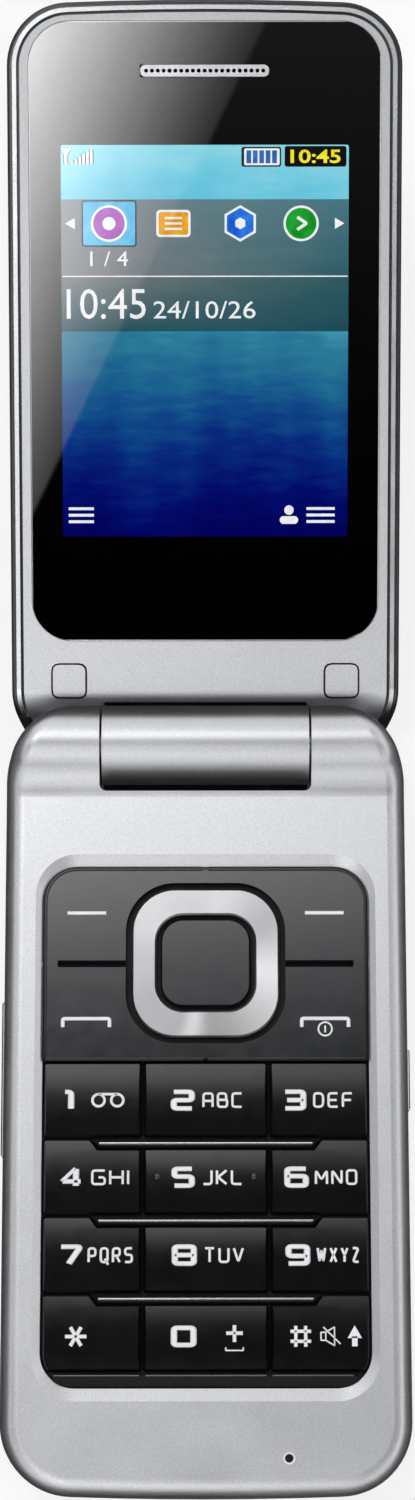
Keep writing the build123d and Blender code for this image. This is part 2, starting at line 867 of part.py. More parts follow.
def ridge(face):
    """A bar that stands on the web, with its two long top edges bevelled."""
    bar = raised(face, web_z, rib_top_z).solid()
    long_edges = bar.faces().sort_by(Axis.Z)[-1].edges().filter_by(Axis.X)
    return chamfer(long_edges, rib_bevel)


def keypad_web():
    """Black carrier under the keys: a thin sheet with the ribs between rows and the chin strip."""
    sheet = rounded_block(
        window_half + web_margin, window_low_y - web_margin, window_top_y + web_margin,
        web_z, web_top_z, window_corner_radius + web_margin,
    )
    for row in range(1, row_count):
        top = row_top(row) - rib_drop
        rib = make_face(Polyline(
            (-rib_half, top), (rib_half, top),
            (rib_half - rib_slant, top - rib_height), (-rib_half + rib_slant, top - rib_height),
            close=True,
        ))
        sheet = sheet + ridge(rib)
    chin = rounded(
        window_half - chin_strip_inset, chin_strip_low_y, chin_strip_top_y, chin_strip_corner_radius,
    )
    sheet = sheet + ridge(chin & window_outline(slide_gap))
    for x, y in key_centres():
        sheet = sheet - post(stem_radius + stem_clearance, x, y, web_z - cut_over, key_foot_z)
    return sheet


def dome_switch_sheet():
    """Foil sheet with a metal dome under every key."""
    sheet = rounded_block(
        window_half, window_low_y, window_top_y,
        board_top_z, board_top_z + dome_sheet_thickness, window_corner_radius,
    )
    dome_z = board_top_z + dome_sheet_thickness
    direction_x = (ring_outer_x + ring_inner_x) / 2
    places = key_centres() + [
        (direction_x, navigation_y), (-direction_x, navigation_y),
        (0, navigation_y + direction_x), (0, navigation_y - direction_x),
    ]
    sphere_radius = (dome_radius**2 + dome_height**2) / (2 * dome_height)
    cap_zone = block(-phone_width, phone_width, -phone_length, phone_length, dome_z, base_height)
    for x, y in places:
        dome = Pos(x, y, dome_z + dome_height - sphere_radius) * Sphere(sphere_radius)
        narrow = post(dome_radius, x, y, dome_z - dome_sheet_thickness / 2, base_height)
        sheet = sheet + (dome & narrow & cap_zone)
    return sheet


# ---------------------------------------------------------------- side keys and connector
def side_bar(x0, x1, y, half_length, grow):
    """A bar along the right side, as high as a side key and a lip more."""
    half_height = side_key_height / 2 + grow
    return block(
        x0, x1, y - half_length - grow, y + half_length + grow, side_key_z - half_height, side_key_z + half_height,
    )


def on_side(side, shape):
    """A piece drawn for the right side, mirrored when it belongs on the left."""
    return shape if side > 0 else mirror(shape, Plane.YZ)


def side_key(side, y, length):
    """A bar key through a side wall with a flange behind the wall."""
    outside = phone_width / 2 + side_key_proud
    bar = side_bar(flange_front_x - fit_gap, outside, y, length / 2, 0)
    outer_edges = [edge for edge in bar.edges() if edge.bounding_box().min.X > outside - fit_gap]
    bar = fillet(outer_edges, side_key_proud)
    return on_side(side, bar + side_bar(flange_back_x, flange_front_x, y, length / 2, side_key_flange_lip))


def side_switch(side, y, gap):
    """A small switch hanging from the board behind a side key."""
    tip = flange_back_x - gap
    body = block(
        tip - switch_nose - switch_depth, tip - switch_nose, y - switch_half, y + switch_half,
        side_key_z - 2 * switch_nose_half, board_z,
    )
    nose = block(
        tip - switch_nose - fit_gap, tip, y - switch_nose_half, y + switch_nose_half,
        side_key_z - switch_nose_half, side_key_z + switch_nose_half,
    )
    return on_side(side, body + nose)


def side_switches():
    """One switch for the right key and two for the left rocker."""
    return [
        side_switch(1, camera_key_y, camera_switch_gap),
        side_switch(-1, volume_key_y - volume_switch_offset, volume_switch_gap),
        side_switch(-1, volume_key_y + volume_switch_offset, volume_switch_gap),
    ]


def connector_cover():
    """Soft cover over the connector, flush with the side, with a plug that goes into the mouth."""
    outside = phone_width / 2
    back = outside - connector_cover_thickness
    half = connector_cover_height / 2
    plate = block(back, outside, connector_low_y, connector_high_y, side_key_z - half, side_key_z + half)
    plug = block(
        back - connector_plug_depth, back,
        connector_low_y + connector_plug_inset, connector_high_y - connector_plug_inset,
        side_key_z - connector_plug_height / 2, side_key_z + connector_plug_height / 2,
    )
    nail_notch = block(
        back - cut_over, back + connector_cover_thickness / 2, connector_high_y - connector_grip,
        connector_high_y + cut_over, side_key_z - half, side_key_z + half,
    )
    return plate + plug - nail_notch


def data_connector():
    """Metal shell of the charging and data socket, open to the side."""
    mouth_x = phone_width / 2 - connector_cover_thickness - connector_setback
    back_x = bay_outer_half + moving_gap
    low = connector_low_y + connector_shell_inset
    high = connector_high_y - connector_shell_inset
    half = connector_shell_height / 2
    skin = connector_skin
    shell = block(back_x, mouth_x, low, high, side_key_z - half, side_key_z + half)
    mouth = block(
        back_x + connector_back, mouth_x + cut_over, low + skin, high - skin,
        side_key_z - half + skin, side_key_z + half - skin,
    )
    foot = block(back_x, mouth_x - connector_shell_inset, low, high, side_key_z + half, board_z)
    return shell - mouth + foot


# ---------------------------------------------------------------- inside the base
def battery_pack():
    """Removable battery with rounded long edges."""
    pack = block(
        -battery_half, battery_half, battery_low_y, battery_high_y, battery_z, battery_z + battery_thickness,
    )
    return fillet(pack.edges().filter_by(Axis.Y), battery_thickness / 4)


def main_board():
    """Circuit board between the shells, drilled for the screws."""
    board = rounded_block(board_half, board_low_y, board_high_y, board_z, board_top_z, board_corner_radius)
    for x, y in screw_places:
        board = board - post(screw_radius + slide_gap, x, y, 0, base_height)
    return board


def shield_cans():
    """Two tin screening covers on the back of the board, above the battery."""
    half = bay_half - can_side_gap
    low_y = battery_low_y + can_end_gap
    high_y = battery_high_y - can_end_gap
    middle_y = (low_y + high_y) / 2
    return [
        block(-half, half, low_y, middle_y, can_z, board_z),
        block(can_between - half, half, middle_y + can_between, high_y, can_z, board_z),
    ]


def card_socket(x0, x1, height):
    """A tin card socket on the back of the board, open towards the battery."""
    low_y = card_low_y + socket_skin
    high_y = card_high_y - moving_gap
    frame = block(x0, x1, low_y, high_y, board_z - height, board_z)
    slot = block(
        x0 + socket_skin, x1 - socket_skin, low_y - cut_over, high_y - socket_wall,
        board_z - height + socket_skin, board_z - socket_skin,
    )
    return frame - slot


def sim_socket():
    """Socket for the subscriber card, with an open window in its tin."""
    low_x = -card_side_x
    high_x = low_x + sim_socket_width
    middle_x = (low_x + high_x) / 2
    quarter = sim_socket_width / 4
    window = block(
        middle_x - quarter, middle_x + quarter, card_low_y + 4 * socket_wall, card_high_y - 4 * socket_wall,
        board_z - sim_socket_height - cut_over, board_z - cut_over,
    )
    return card_socket(low_x, high_x, sim_socket_height) - window


def memory_card_socket():
    """Small socket for a memory card, beside the other one."""
    return card_socket(sim_socket_width - card_side_x + socket_gap, card_side_x, memory_socket_height)


def battery_contacts():
    """Contact block with three sprung fingers against the battery's end."""
    body = block(-contact_half, contact_half, contact_low_y, contact_high_y, floor_z + slide_gap, board_z)
    for index in (-1, 0, 1):
        x = index * contact_pitch
        body = body + block(
            x - contact_finger_half, x + contact_finger_half, contact_high_y - fit_gap, battery_low_y - fit_gap,
            contact_finger_low_z, contact_finger_low_z + contact_finger_height,
        )
    return body


def loudspeaker():
    """Oval speaker under the board, facing the slots in the back."""
    low_z = floor_z + slide_gap
    can = rounded_block(
        speaker_half_width, speaker_y - speaker_half_length, speaker_y + speaker_half_length,
        low_z, board_z - slide_gap, speaker_half_width / 2, speaker_x,
    )
    mouth_half_length = speaker_half_length - speaker_rim
    mouth = rounded_block(
        speaker_half_width - speaker_rim, speaker_y - mouth_half_length, speaker_y + mouth_half_length,
        low_z - cut_over, low_z + speaker_rim / 3, speaker_half_width / 2 - speaker_rim / 2, speaker_x,
    )
    return can - mouth


def antenna_module():
    """Plastic antenna carrier in the chin, open towards the board."""
    half = (antenna_high_x - antenna_low_x) / 2
    middle = (antenna_high_x + antenna_low_x) / 2
    low_z = floor_z + slide_gap
    carrier = rounded_block(
        half, chin_part_low_y, chin_part_high_y, low_z, board_z - slide_gap, 2 * antenna_wall, middle,
    )
    hollow = rounded_block(
        half - antenna_wall, chin_part_low_y + antenna_wall, chin_part_high_y - antenna_wall,
        low_z + antenna_wall, board_z, antenna_wall, middle,
    )
    return carrier - hollow


def microphone():
    """Microphone capsule on the board under its hole."""
    return post(mic_radius, mic_x, mic_y, board_top_z, board_top_z + mic_height)


def along_y(radius, x, y0, y1, z):
    """A cylinder along Y."""
    return Pos(x, (y0 + y1) / 2, z) * Rot(90, 0, 0) * Cylinder(radius, y1 - y0)


def vibration_motor():
    """Small motor with an eccentric weight, in the left side bay."""
    x = -(bay_outer_half + inner_half) / 2
    z = floor_z + slide_gap + motor_radius
    low_y = motor_y - motor_length / 2
    weight_high_y = low_y - slide_gap * 3
    weight_low_y = weight_high_y - motor_weight_length
    can = along_y(motor_radius, x, low_y, low_y + motor_length, z)
    shaft = along_y(motor_shaft_radius, x, weight_high_y - slide_gap, low_y + slide_gap, z)
    weight = along_y(motor_weight_radius, x, weight_low_y, weight_high_y, z)
    flat = block(x - side_bay_width, x + side_bay_width, weight_low_y, weight_high_y, z + slide_gap, base_height)
    weight = (weight - flat) + along_y(2 * motor_shaft_radius, x, weight_low_y, weight_high_y, z)
    cradle = block(x - motor_weight_radius, x + motor_weight_radius, low_y, low_y + motor_length, z, board_z)
    return can + shaft + weight + cradle


def base_screws():
    """Four screws from the lower shell up into the front cover."""
    screws = []
    slot_top_z = housing_z + fit_gap + screw_slot_depth
    for x, y in screw_places:
        head = post(screw_head_radius, x, y, housing_z + fit_gap, housing_z + screw_head_length)
        shank = post(screw_radius, x, y, housing_z + screw_head_length, face_inside_z - slide_gap)
        for reach_x, reach_y in [
            (screw_slot_half_length, screw_slot_half_width), (screw_slot_half_width, screw_slot_half_length),
        ]:
            head = head - block(x - reach_x, x + reach_x, y - reach_y, y + reach_y, 0, slot_top_z)
        screws.append(head + shank)
    return screws


# ---------------------------------------------------------------- hinge pieces on the base
def hinge_cam_shaft():
    """Shaft fixed in the right knuckle, with its cam and the riveted end inside the sleeve."""
    head = rod(bearing_radius, knuckle_x - fit_gap, knuckle_x + shaft_head_length, 0, 0)
    head = head & Pos(0, -phone_length / 2, 0) * across(shaft_flat_half, 0)
    neck = rod(bearing_radius, cam_end_x, knuckle_x, 0, 0)
    cam = rod(sleeve_bore_radius - bearing_fit, cam_start_x, cam_end_x, 0, 0)
    shaft = rod(shaft_radius, shaft_end_x, cam_start_x, 0, 0)
    rivet = rod(rivet_radius, shaft_end_x, shaft_end_x + rivet_length, 0, 0)
    return Pos(0, hinge_axis_y, hinge_axis_z) * (head + neck + cam + shaft + rivet)


def hinge_pin():
    """Hollow pin in the left knuckle that carries the barrel and lets the cable through."""
    tube = rod(bearing_radius, -pin_outer_x, -pin_inner_x, hinge_axis_y, hinge_axis_z)
    return tube - rod(bearing_radius - pin_wall, -phone_width, 0, hinge_axis_y, hinge_axis_z)


def flex_cable_base():
    """Flexible circuit from the board into the left knuckle, rolled to pass through the pin."""
    low_x = -pin_outer_x - base_cable_width - moving_gap
    roll = rod(base_roll_radius, low_x, -pin_inner_x - moving_gap, hinge_axis_y, hinge_axis_z)
    strip = block(
        low_x, low_x + base_cable_width, board_high_y - base_cable_overlap, hinge_axis_y - base_roll_radius / 2,
        board_top_z, board_top_z + cable_thickness,
    )
    return roll + strip


# ---------------------------------------------------------------- lid envelope
def lid_outline(inset):
    """Plan of the lid in hinge coordinates, drawn in by an inset."""
    return crowned_outline(
        lid_half - inset,
        lid_low_corner_v - lid_low_corner_radius - end_crown + inset,
        lid_reach - inset,
        lid_low_corner_radius - inset,
        lid_high_corner_radius - inset,
        end_crown,
    )


def on_circle(centre, radius, angle):
    """A point on a circle."""
    return (centre[0] + radius * cos(angle), centre[1] + radius * sin(angle))


def lid_side_profile():
    """Side view of the lid: inner face, lip and scoop round the knuckles, tail and curved back."""
    far_y = lid_reach + cut_over
    face_z = -lid_face_w
    back_z = -lid_back_w
    lip_z = face_z - lip_radius
    lip = (sqrt((scoop_radius + lip_radius)**2 - lip_z**2), lip_z)
    lip_face_point = (lip[0], face_z)
    scoop_start = on_circle((0, 0), scoop_radius, atan2(lip[1], lip[0]))
    lip_middle = on_circle(lip, lip_radius, (radians(90) + atan2(-lip[1], -lip[0])) / 2)
    tail_inside = (-lid_tail, -sqrt(scoop_radius**2 - lid_tail**2))
    tail_outside = (-lid_tail, tail_inside[1] - lid_tail_thickness)
    scoop_angle = (atan2(scoop_start[1], scoop_start[0]) + atan2(tail_inside[1], tail_inside[0])) / 2
    return make_face([
        Line((far_y, face_z), lip_face_point),
        ThreePointArc(lip_face_point, lip_middle, scoop_start),
        ThreePointArc(scoop_start, on_circle((0, 0), scoop_radius, scoop_angle), tail_inside),
        Line(tail_inside, tail_outside),
        TangentArc((lid_back_curve_start, back_z), tail_outside, tangent=(-1, 0)),
        Line((lid_back_curve_start, back_z), (far_y, back_z)),
        Line((far_y, back_z), (far_y, face_z)),
    ])


def is_lid_cross_edge(edge):
    """True for an edge that runs straight across the lid."""
    box = edge.bounding_box()
    return box.max.Y - box.min.Y < fit_gap and box.max.X - box.min.X > lid_half


def make_lid_envelope():
    """Outer shape of the lid without its barrel, with rounded edges."""
    side = extrude(Plane.YZ * lid_side_profile(), amount=2 * lid_half, both=True)
    envelope = (side & raised(lid_outline(0), -lid_back_w - cut_over, 0)).solid()
    back_edges = [
        edge for edge in envelope.edges()
        if edge.bounding_box().max.Z < lid_back_edge_zone - lid_back_w and not is_lid_cross_edge(edge)
    ]
    envelope = fillet(back_edges, lid_back_edge_radius).solid()
    face_edges = [
        edge for edge in envelope.edges()
        if edge.bounding_box().min.Z > -lid_face_w - fit_gap and not is_lid_cross_edge(edge)
    ]
    return fillet(face_edges, lid_face_edge_radius).solid()


lid_envelope = make_lid_envelope()


def lid_slab(inset, w0, w1, v0=-phone_length, v1=2 * phone_length):
    """A layer of the lid's plan between two depths below the axis and two distances from it."""
    layer = raised(lid_outline(inset), -w1, -w0)
    return layer & block(-phone_width, phone_width, v0, v1, -w1 - cut_over, -w0 + cut_over)


def opened(shape):
    """Turn a lid piece from its flat drawing position to the open angle."""
    return Pos(0, hinge_axis_y, hinge_axis_z) * Rot(180 - open_angle, 0, 0) * shape


# ---------------------------------------------------------------- lid shells
def cap_outline(side, grow):
    """Square with round corners where a screw cap sits."""
    half = cap_half + grow
    return rounded(half, cap_v - half, cap_v + half, cap_corner_radius + grow, side * cap_x)


def grille_slot(grow):
    """Opening for the strip of sound holes."""
    half = grille_height / 2 + grow
    return block(-grille_half - grow, grille_half + grow, grille_v - half, grille_v + half, -lid_split_w, 0)


def lid_barrel():
    """The hinge barrel with its neck, bored for the hinge unit and the cable."""
    barrel = rod(hinge_radius, -barrel_half, barrel_half, 0, 0)
    neck = block(-barrel_half, barrel_half, 0, lid_block_v - fit_gap, slide_gap - lid_split_w, -neck_w)
    bore = rod(barrel_bore_radius, barrel_end_wall - barrel_half, barrel_half + cut_over, 0, 0)
    bearing = rod(bearing_radius + bearing_fit, -phone_width, 0, 0, 0)
    slot_low_x = cable_left_x - cable_slot_gap
    slot_high_x = cable_right_x + cable_slot_gap
    slot_low_z = -cable_w - cable_thickness - cable_slot_gap
    run = block(
        slot_low_x, slot_high_x, roll_bore_radius, lid_block_v + cut_over, slot_low_z, cable_slot_gap - cable_w,
    )
    rise = block(slot_low_x, slot_high_x, roll_bore_radius, roll_radius + cable_slot_gap, slot_low_z, 0)
    return barrel, neck, [bore, bearing, run, rise]


def lid_inner_cover():
    """Silver inner shell: frame round the glass, screw pockets and the hinge barrel."""
    shell = lid_envelope & lid_slab(inner_cover_inset, 0, lid_split_w, 0)
    shell = shell - lid_slab(inner_cover_inset + inner_skirt, plate_w, lid_split_w + cut_over, lid_block_v)
    shell = shell - rounded_block(
        glass_half + fit_gap, glass_low_v - fit_gap, glass_high_v + fit_gap,
        -glass_seat_w, 0, glass_corner_radius + fit_gap,
    )
    lcd_room = lcd_frame_wall + slide_gap
    shell = shell - block(
        -lcd_half - lcd_room, lcd_half + lcd_room, lcd_low_v - lcd_room, lcd_high_v + lcd_room,
        -lid_split_w, -lid_face_w,
    )
    barrel, neck, hollows = lid_barrel()
    shell = shell - grille_slot(0) + barrel + neck - hollows
    for side in (-1, 1):
        x = side * cap_x
        shell = shell - raised(cap_outline(side, fit_gap), -lid_face_w - cap_thickness - slide_gap, 0)
        shell = shell - post(screw_head_radius + slide_gap, x, cap_v, -lid_screw_seat_w, 0)
        shell = shell - post(screw_radius + slide_gap, x, cap_v, -lid_back_w, 0)
    return shell


def lid_outer_cover():
    """Dark outer shell: thin rim, curved back and the tail that covers the knuckles."""
    room = inner_cover_inset - fit_gap
    shell = lid_envelope - lid_slab(lid_rim, 0, lid_face_w + trim_height + fit_gap)
    shell = shell - lid_slab(room, 0, lid_split_w + fit_gap, -fit_gap)
    shell = shell - lid_slab(room, lid_split_w, lid_back_inside_w, lid_block_v)
    shell = shell - post(camera_window_radius + fit_gap, 0, camera_v, -lid_back_w - cut_over, 0)
    foot_step = (lid_board_high_v - lid_board_low_v - 2 * lid_foot_inset_v) / (lid_foot_rows - 1)
    for side in (-1, 1):
        shell = shell - post(screw_radius + fit_gap, side * cap_x, cap_v, -lid_screw_end_w - slide_gap, 0)
        for row in range(lid_foot_rows):
            x = side * (lid_board_half - lid_foot_inset_x)
            v = lid_board_low_v + lid_foot_inset_v + row * foot_step
            shell = shell + post(lid_foot_radius, x, v, -lid_back_inside_w, -lid_board_back_w)
    return shell


def lid_trim_ring():
    """Bright line that runs round the inner cover."""
    ring = lid_slab(trim_outer_inset, 0, lid_face_w + trim_height)
    ring = ring - lid_slab(trim_inner_inset, -cut_over, lid_face_w + trim_height + cut_over)
    return lid_envelope & ring


def display_window():
    """Glass over the display, with a slot for the earpiece."""
    glass = rounded_block(
        glass_half, glass_low_v, glass_high_v, -glass_w - glass_thickness, -glass_w, glass_corner_radius,
    )
    return glass - grille_slot(fit_gap)


def earpiece_grille():
    """Strip with a row of sound holes."""
    half = grille_height / 2
    strip = rounded_block(
        grille_half, grille_v - half, grille_v + half, -glass_w - grille_thickness, -glass_w, half - slide_gap,
    )
    pitch = 2 * (grille_half - half) / (grille_holes - 1)
    for index in range(grille_holes):
        x = (index - (grille_holes - 1) / 2) * pitch
        strip = strip - post(grille_hole_radius, x, grille_v, -lid_split_w, 0)
    return strip


def lcd_panel():
    """Display module behind the glass."""
    return block(-lcd_half, lcd_half, lcd_low_v, lcd_high_v, -lcd_back_w, -lcd_w)


def lcd_frame():
    """Tin frame that holds the display module."""
    wall = lcd_frame_wall
    tray = block(
        -lcd_half - wall, lcd_half + wall, lcd_low_v - wall, lcd_high_v + wall, -lcd_frame_back_w, -lcd_w,
    )
    pocket = block(
        -lcd_half - fit_gap, lcd_half + fit_gap, lcd_low_v - fit_gap, lcd_high_v + fit_gap,
        -lcd_back_w - fit_gap, 0,
    )
    return tray - pocket


def earpiece_speaker():
    """Flat earpiece behind the grille."""
    top_w = plate_w + slide_gap
    return rounded_block(
        earpiece_half_x, grille_v - earpiece_half_y, grille_v + earpiece_half_y,
        -top_w - earpiece_depth, -top_w, earpiece_corner_radius,
    )


def screw_caps():
    """Two square caps over the lid screws."""
    caps = []
    for side in (-1, 1):
        cap = raised(cap_outline(side, -fit_gap), -lid_face_w - cap_thickness, 0)
        caps.append((cap & lid_envelope).solid())
    return caps


def lid_screws():
    """Two screws from the inner shell into the outer shell."""
    screws = []
    for side in (-1, 1):
        seat_z = fit_gap - lid_screw_seat_w
        head = post(screw_head_radius - slide_gap, side * cap_x, cap_v, seat_z, seat_z + lid_screw_head_length)
        shank = post(screw_radius, side * cap_x, cap_v, -lid_screw_end_w, seat_z)
        screws.append(head + shank)
    return screws


def lid_board():
    """Small circuit board behind the display."""
    return rounded_block(
        lid_board_half, lid_board_low_v, lid_board_high_v, -lid_board_back_w, -lid_board_w,
        lid_board_corner_radius,
    )


def camera_module():
    """Camera block with its lens barrel facing out of the back."""
    body = block(
        -camera_half, camera_half, camera_v - camera_half, camera_v + camera_half, -camera_back_w, -camera_w,
    )
    lens_end_w = lid_back_w - camera_window_thickness - slide_gap
    return body + post(lens_radius, 0, camera_v, -lens_end_w, -camera_back_w)


def camera_window():
    """Round clear window flush with the back of the lid."""
    disc = post(camera_window_radius, 0, camera_v, -lid_back_w, -lid_back_w + camera_window_thickness)
    outer_edge = [edge for edge in disc.edges() if edge.bounding_box().max.Z < fit_gap - lid_back_w]
    return chamfer(outer_edge, camera_window_thickness / 4)


# ---------------------------------------------------------------- hinge pieces in the lid
def hinge_sleeve():
    """Steel can of the hinge unit inside the barrel."""
    end_x = sleeve_start_x + sleeve_length
    can = rod(sleeve_radius, sleeve_start_x, end_x, 0, 0)
    return can - rod(sleeve_bore_radius, sleeve_start_x + sleeve_wall, end_x + cut_over, 0, 0)


def hinge_follower():
    """Follower that the spring presses against the cam."""
    ring = rod(sleeve_bore_radius - fit_gap, follower_end_x - follower_length, follower_end_x, 0, 0)
    return ring - rod(shaft_radius + bearing_fit, 0, phone_width, 0, 0)


def hinge_spring():
    """Coil spring behind the follower."""
    end_x = follower_end_x - follower_length - follower_gap - spring_wire_radius
    start_x = shaft_end_x + rivet_length + slide_gap + spring_wire_radius
    coil = Helix((end_x - start_x) / spring_turns, end_x - start_x, spring_coil_radius)
    section = Plane(coil @ 0, z_dir=coil % 0) * Circle(spring_wire_radius)
    wire = sweep(section, path=coil, is_frenet=True)
    return Pos(start_x, 0, 0) * Rot(0, 90, 0) * wire


def flex_cable_lid():
    """Flexible circuit from its roll in the barrel to the lid board."""
    start_v = roll_radius - 2 * cable_thickness
    strip_z = -cable_w
    board_face_z = -lid_board_w
    roll = rod(roll_radius, cable_left_x - cable_slot_gap / 2, cable_right_x, 0, 0)
    roll = roll - rod(roll_bore_radius, -phone_width, phone_width, 0, 0)
    rise = block(cable_left_x, cable_right_x, start_v, start_v + cable_thickness, strip_z - cable_thickness, 0)
    strip = block(cable_left_x, cable_right_x, start_v, cable_turn_v, strip_z - cable_thickness, strip_z)
    drop_v = cable_turn_v - cable_thickness
    drop = block(cable_left_x, cable_right_x, drop_v, cable_turn_v, board_face_z, strip_z)
    landing = block(
        cable_left_x, cable_right_x, drop_v, cable_end_v, board_face_z, board_face_z + cable_thickness,
    )
    return roll + rise + strip + drop + landing


# ---------------------------------------------------------------- write the parts
def write(node, shape):
    """Write one sub-part as a STEP file named after its node."""
    solids = shape if isinstance(shape, list) else [shape]
    bodies = [solid for item in solids for solid in item.solids()]
    whole = bodies[0] if len(bodies) == 1 else Compound(children=bodies)
    export_step(whole, "parts/" + node + ".step")


def build():
    """Make every sub-part of the phone."""
    os.makedirs("parts", exist_ok=True)
    base_pieces = {
        "base_front_cover": base_front_cover(),
        "base_rear_housing": base_rear_housing(),
        "battery_cover": battery_cover(),
        "battery_pack": battery_pack(),
        "battery_contacts": battery_contacts(),
        "main_board": main_board(),
        "shield_cans": shield_cans(),
        "sim_socket": sim_socket(),
        "memory_card_socket": memory_card_socket(),
        "data_connector": data_connector(),
        "connector_cover": connector_cover(),
        "loudspeaker": loudspeaker(),
        "microphone": microphone(),
        "vibration_motor": vibration_motor(),
        "antenna_module": antenna_module(),
        "dome_switch_sheet": dome_switch_sheet(),
        "keypad_web": keypad_web(),
        "nav_rocker_plate": nav_rocker_plate(),
        "nav_ring": nav_ring(),
        "select_key": select_key(),
        "volume_key": side_key(-1, volume_key_y, volume_key_length),
        "camera_key": side_key(1, camera_key_y, camera_key_length),
        "side_switches": side_switches(),
        "base_screws": base_screws(),
        "hinge_cam_shaft": hinge_cam_shaft(),
        "hinge_pin": hinge_pin(),
        "flex_cable_base": flex_cable_base(),
    }
    number_names = [["1", "2", "3"], ["4", "5", "6"], ["7", "8", "9"], ["star", "0", "hash"]]
    for row, names in enumerate(number_names):
        for column, name in enumerate(names):
            base_pieces["key_" + name] = number_key(row, column - 1)
    plate = function_plate()
    base_pieces["left_soft_key"] = function_key(plate, -1, True)
    base_pieces["right_soft_key"] = function_key(plate, 1, True)
    base_pieces["send_key"] = function_key(plate, -1, False)
    base_pieces["end_key"] = function_key(plate, 1, False)
    lid_pieces = {
        "lid_inner_cover": lid_inner_cover(),
        "lid_outer_cover": lid_outer_cover(),
        "lid_trim_ring": lid_trim_ring(),
        "display_window": display_window(),
        "earpiece_grille": earpiece_grille(),
        "lcd_panel": lcd_panel(),
        "lcd_frame": lcd_frame(),
        "earpiece_speaker": earpiece_speaker(),
        "screw_caps": screw_caps(),
        "lid_screws": lid_screws(),
        "lid_board": lid_board(),
        "camera_module": camera_module(),
        "camera_window": camera_window(),
        "hinge_sleeve": hinge_sleeve(),
        "hinge_follower": hinge_follower(),
        "hinge_spring": hinge_spring(),
        "flex_cable_lid": flex_cable_lid(),
    }
    for node, shape in base_pieces.items():
        write(node, shape)
    for node, shape in lid_pieces.items():
        pieces = shape if isinstance(shape, list) else [shape]
        write(node, [opened(piece) for piece in pieces])


build()
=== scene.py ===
import bpy
import json
from math import cos, pi, radians, sin
from mathutils import Matrix, Vector


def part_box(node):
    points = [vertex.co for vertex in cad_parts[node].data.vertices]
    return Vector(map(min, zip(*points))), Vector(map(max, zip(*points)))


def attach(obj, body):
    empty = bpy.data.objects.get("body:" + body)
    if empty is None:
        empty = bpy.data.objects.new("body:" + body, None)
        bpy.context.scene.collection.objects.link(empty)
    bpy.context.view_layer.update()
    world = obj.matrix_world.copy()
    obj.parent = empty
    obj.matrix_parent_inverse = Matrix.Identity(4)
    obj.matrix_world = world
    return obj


# Looks of the flip phone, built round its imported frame. Sizes are in millimetres, turned to metres
# where a piece is made. x runs across, y along the base towards the hinge and z up out of the keypad.
# On the lid, v is the distance from the hinge axis and w the depth below the axis.

MM = 0.001

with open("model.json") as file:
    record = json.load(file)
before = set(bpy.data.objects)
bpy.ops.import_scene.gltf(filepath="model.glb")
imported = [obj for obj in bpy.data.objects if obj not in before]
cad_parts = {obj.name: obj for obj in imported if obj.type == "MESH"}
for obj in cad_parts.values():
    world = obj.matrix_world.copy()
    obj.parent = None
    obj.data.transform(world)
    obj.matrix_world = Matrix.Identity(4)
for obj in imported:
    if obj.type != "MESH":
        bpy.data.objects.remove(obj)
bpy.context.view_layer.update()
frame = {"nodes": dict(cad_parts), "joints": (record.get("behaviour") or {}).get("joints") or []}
nodes = frame["nodes"]
scene = bpy.context.scene

# ---- sizes read from the frame
lid_joint = [joint for joint in frame["joints"] if joint["name"] == "lid_hinge"][0]
hinge_place = Vector(lid_joint["pos_m"])
lid_turn = radians(180 - lid_joint["range_deg"][1])
lid_place = Matrix.Translation(hinge_place) @ Matrix.Rotation(lid_turn, 4, "X")


def on_lid_box(name):
    """Lowest and highest corner of a lid node, in millimetres in the lid's own directions."""
    back = lid_place.inverted()
    corners = [back @ vertex.co for vertex in nodes[name].data.vertices]
    low = [min(corner[axis] for corner in corners) / MM for axis in range(3)]
    high = [max(corner[axis] for corner in corners) / MM for axis in range(3)]
    return low, high


panel_top = on_lid_box("lcd_panel")[1][2]
key_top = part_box("key_5")[1].z / MM
plate_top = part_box("left_soft_key")[1].z / MM

# ---- camera and stage sizes
picture_long_side = 1500
focal_pixels = 3426
sensor_long_side = 36.0
camera_target = Vector((0.28, 45.16, 7.0)) * MM
camera_distance = 450 * MM
camera_elevation = radians(77.58)
camera_azimuth = radians(-0.06)
near_clip, far_clip = 0.01, 20

# The stage is given in metres.
world_strength = 0.55
floor_size = 6
floor_drop = 0.0002
floor_glow = 0.8
ceiling_half = 3.1
ceiling_height = 3.1
ceiling_strength = 4.8
horizon_radius = 1.4
horizon_height = 0.2
horizon_shade = (0.02, 0.02, 0.02, 1)
hinge_flag_shade = (0.006, 0.006, 0.006, 1)

# The gloss on the window: how fast it fades to the right and upwards, and its slanting edge.
gloss_fade_x = -3.321
gloss_fade_y = 1.39
gloss_fade_start = 1.3475
gloss_edge_slope = -0.4585
gloss_edge_dark, gloss_edge_lit = 0.381, 0.375
gloss_dim_from_y, gloss_dim_to_y = -1.38, -0.69
gloss_dim_level = 0.12
gloss_contrast = 2.2

# ---- display sizes
display_half = 18.65
display_low_v = 27.2
display_high_v = 77.9
print_gap = 0.01
print_corner = 4.4
print_edge = 0.1
backdrop_overlap = 0.3
layer = 0.01
layer_share = 0.9
status_foot_v = 75.45
pictogram_v = 67.85
menu_low_v, menu_high_v = 61.1, 70.95
clock_low_v, clock_high_v = 53.95, 61.0
strip_line_v = 61.05
soft_label_v = 30.0

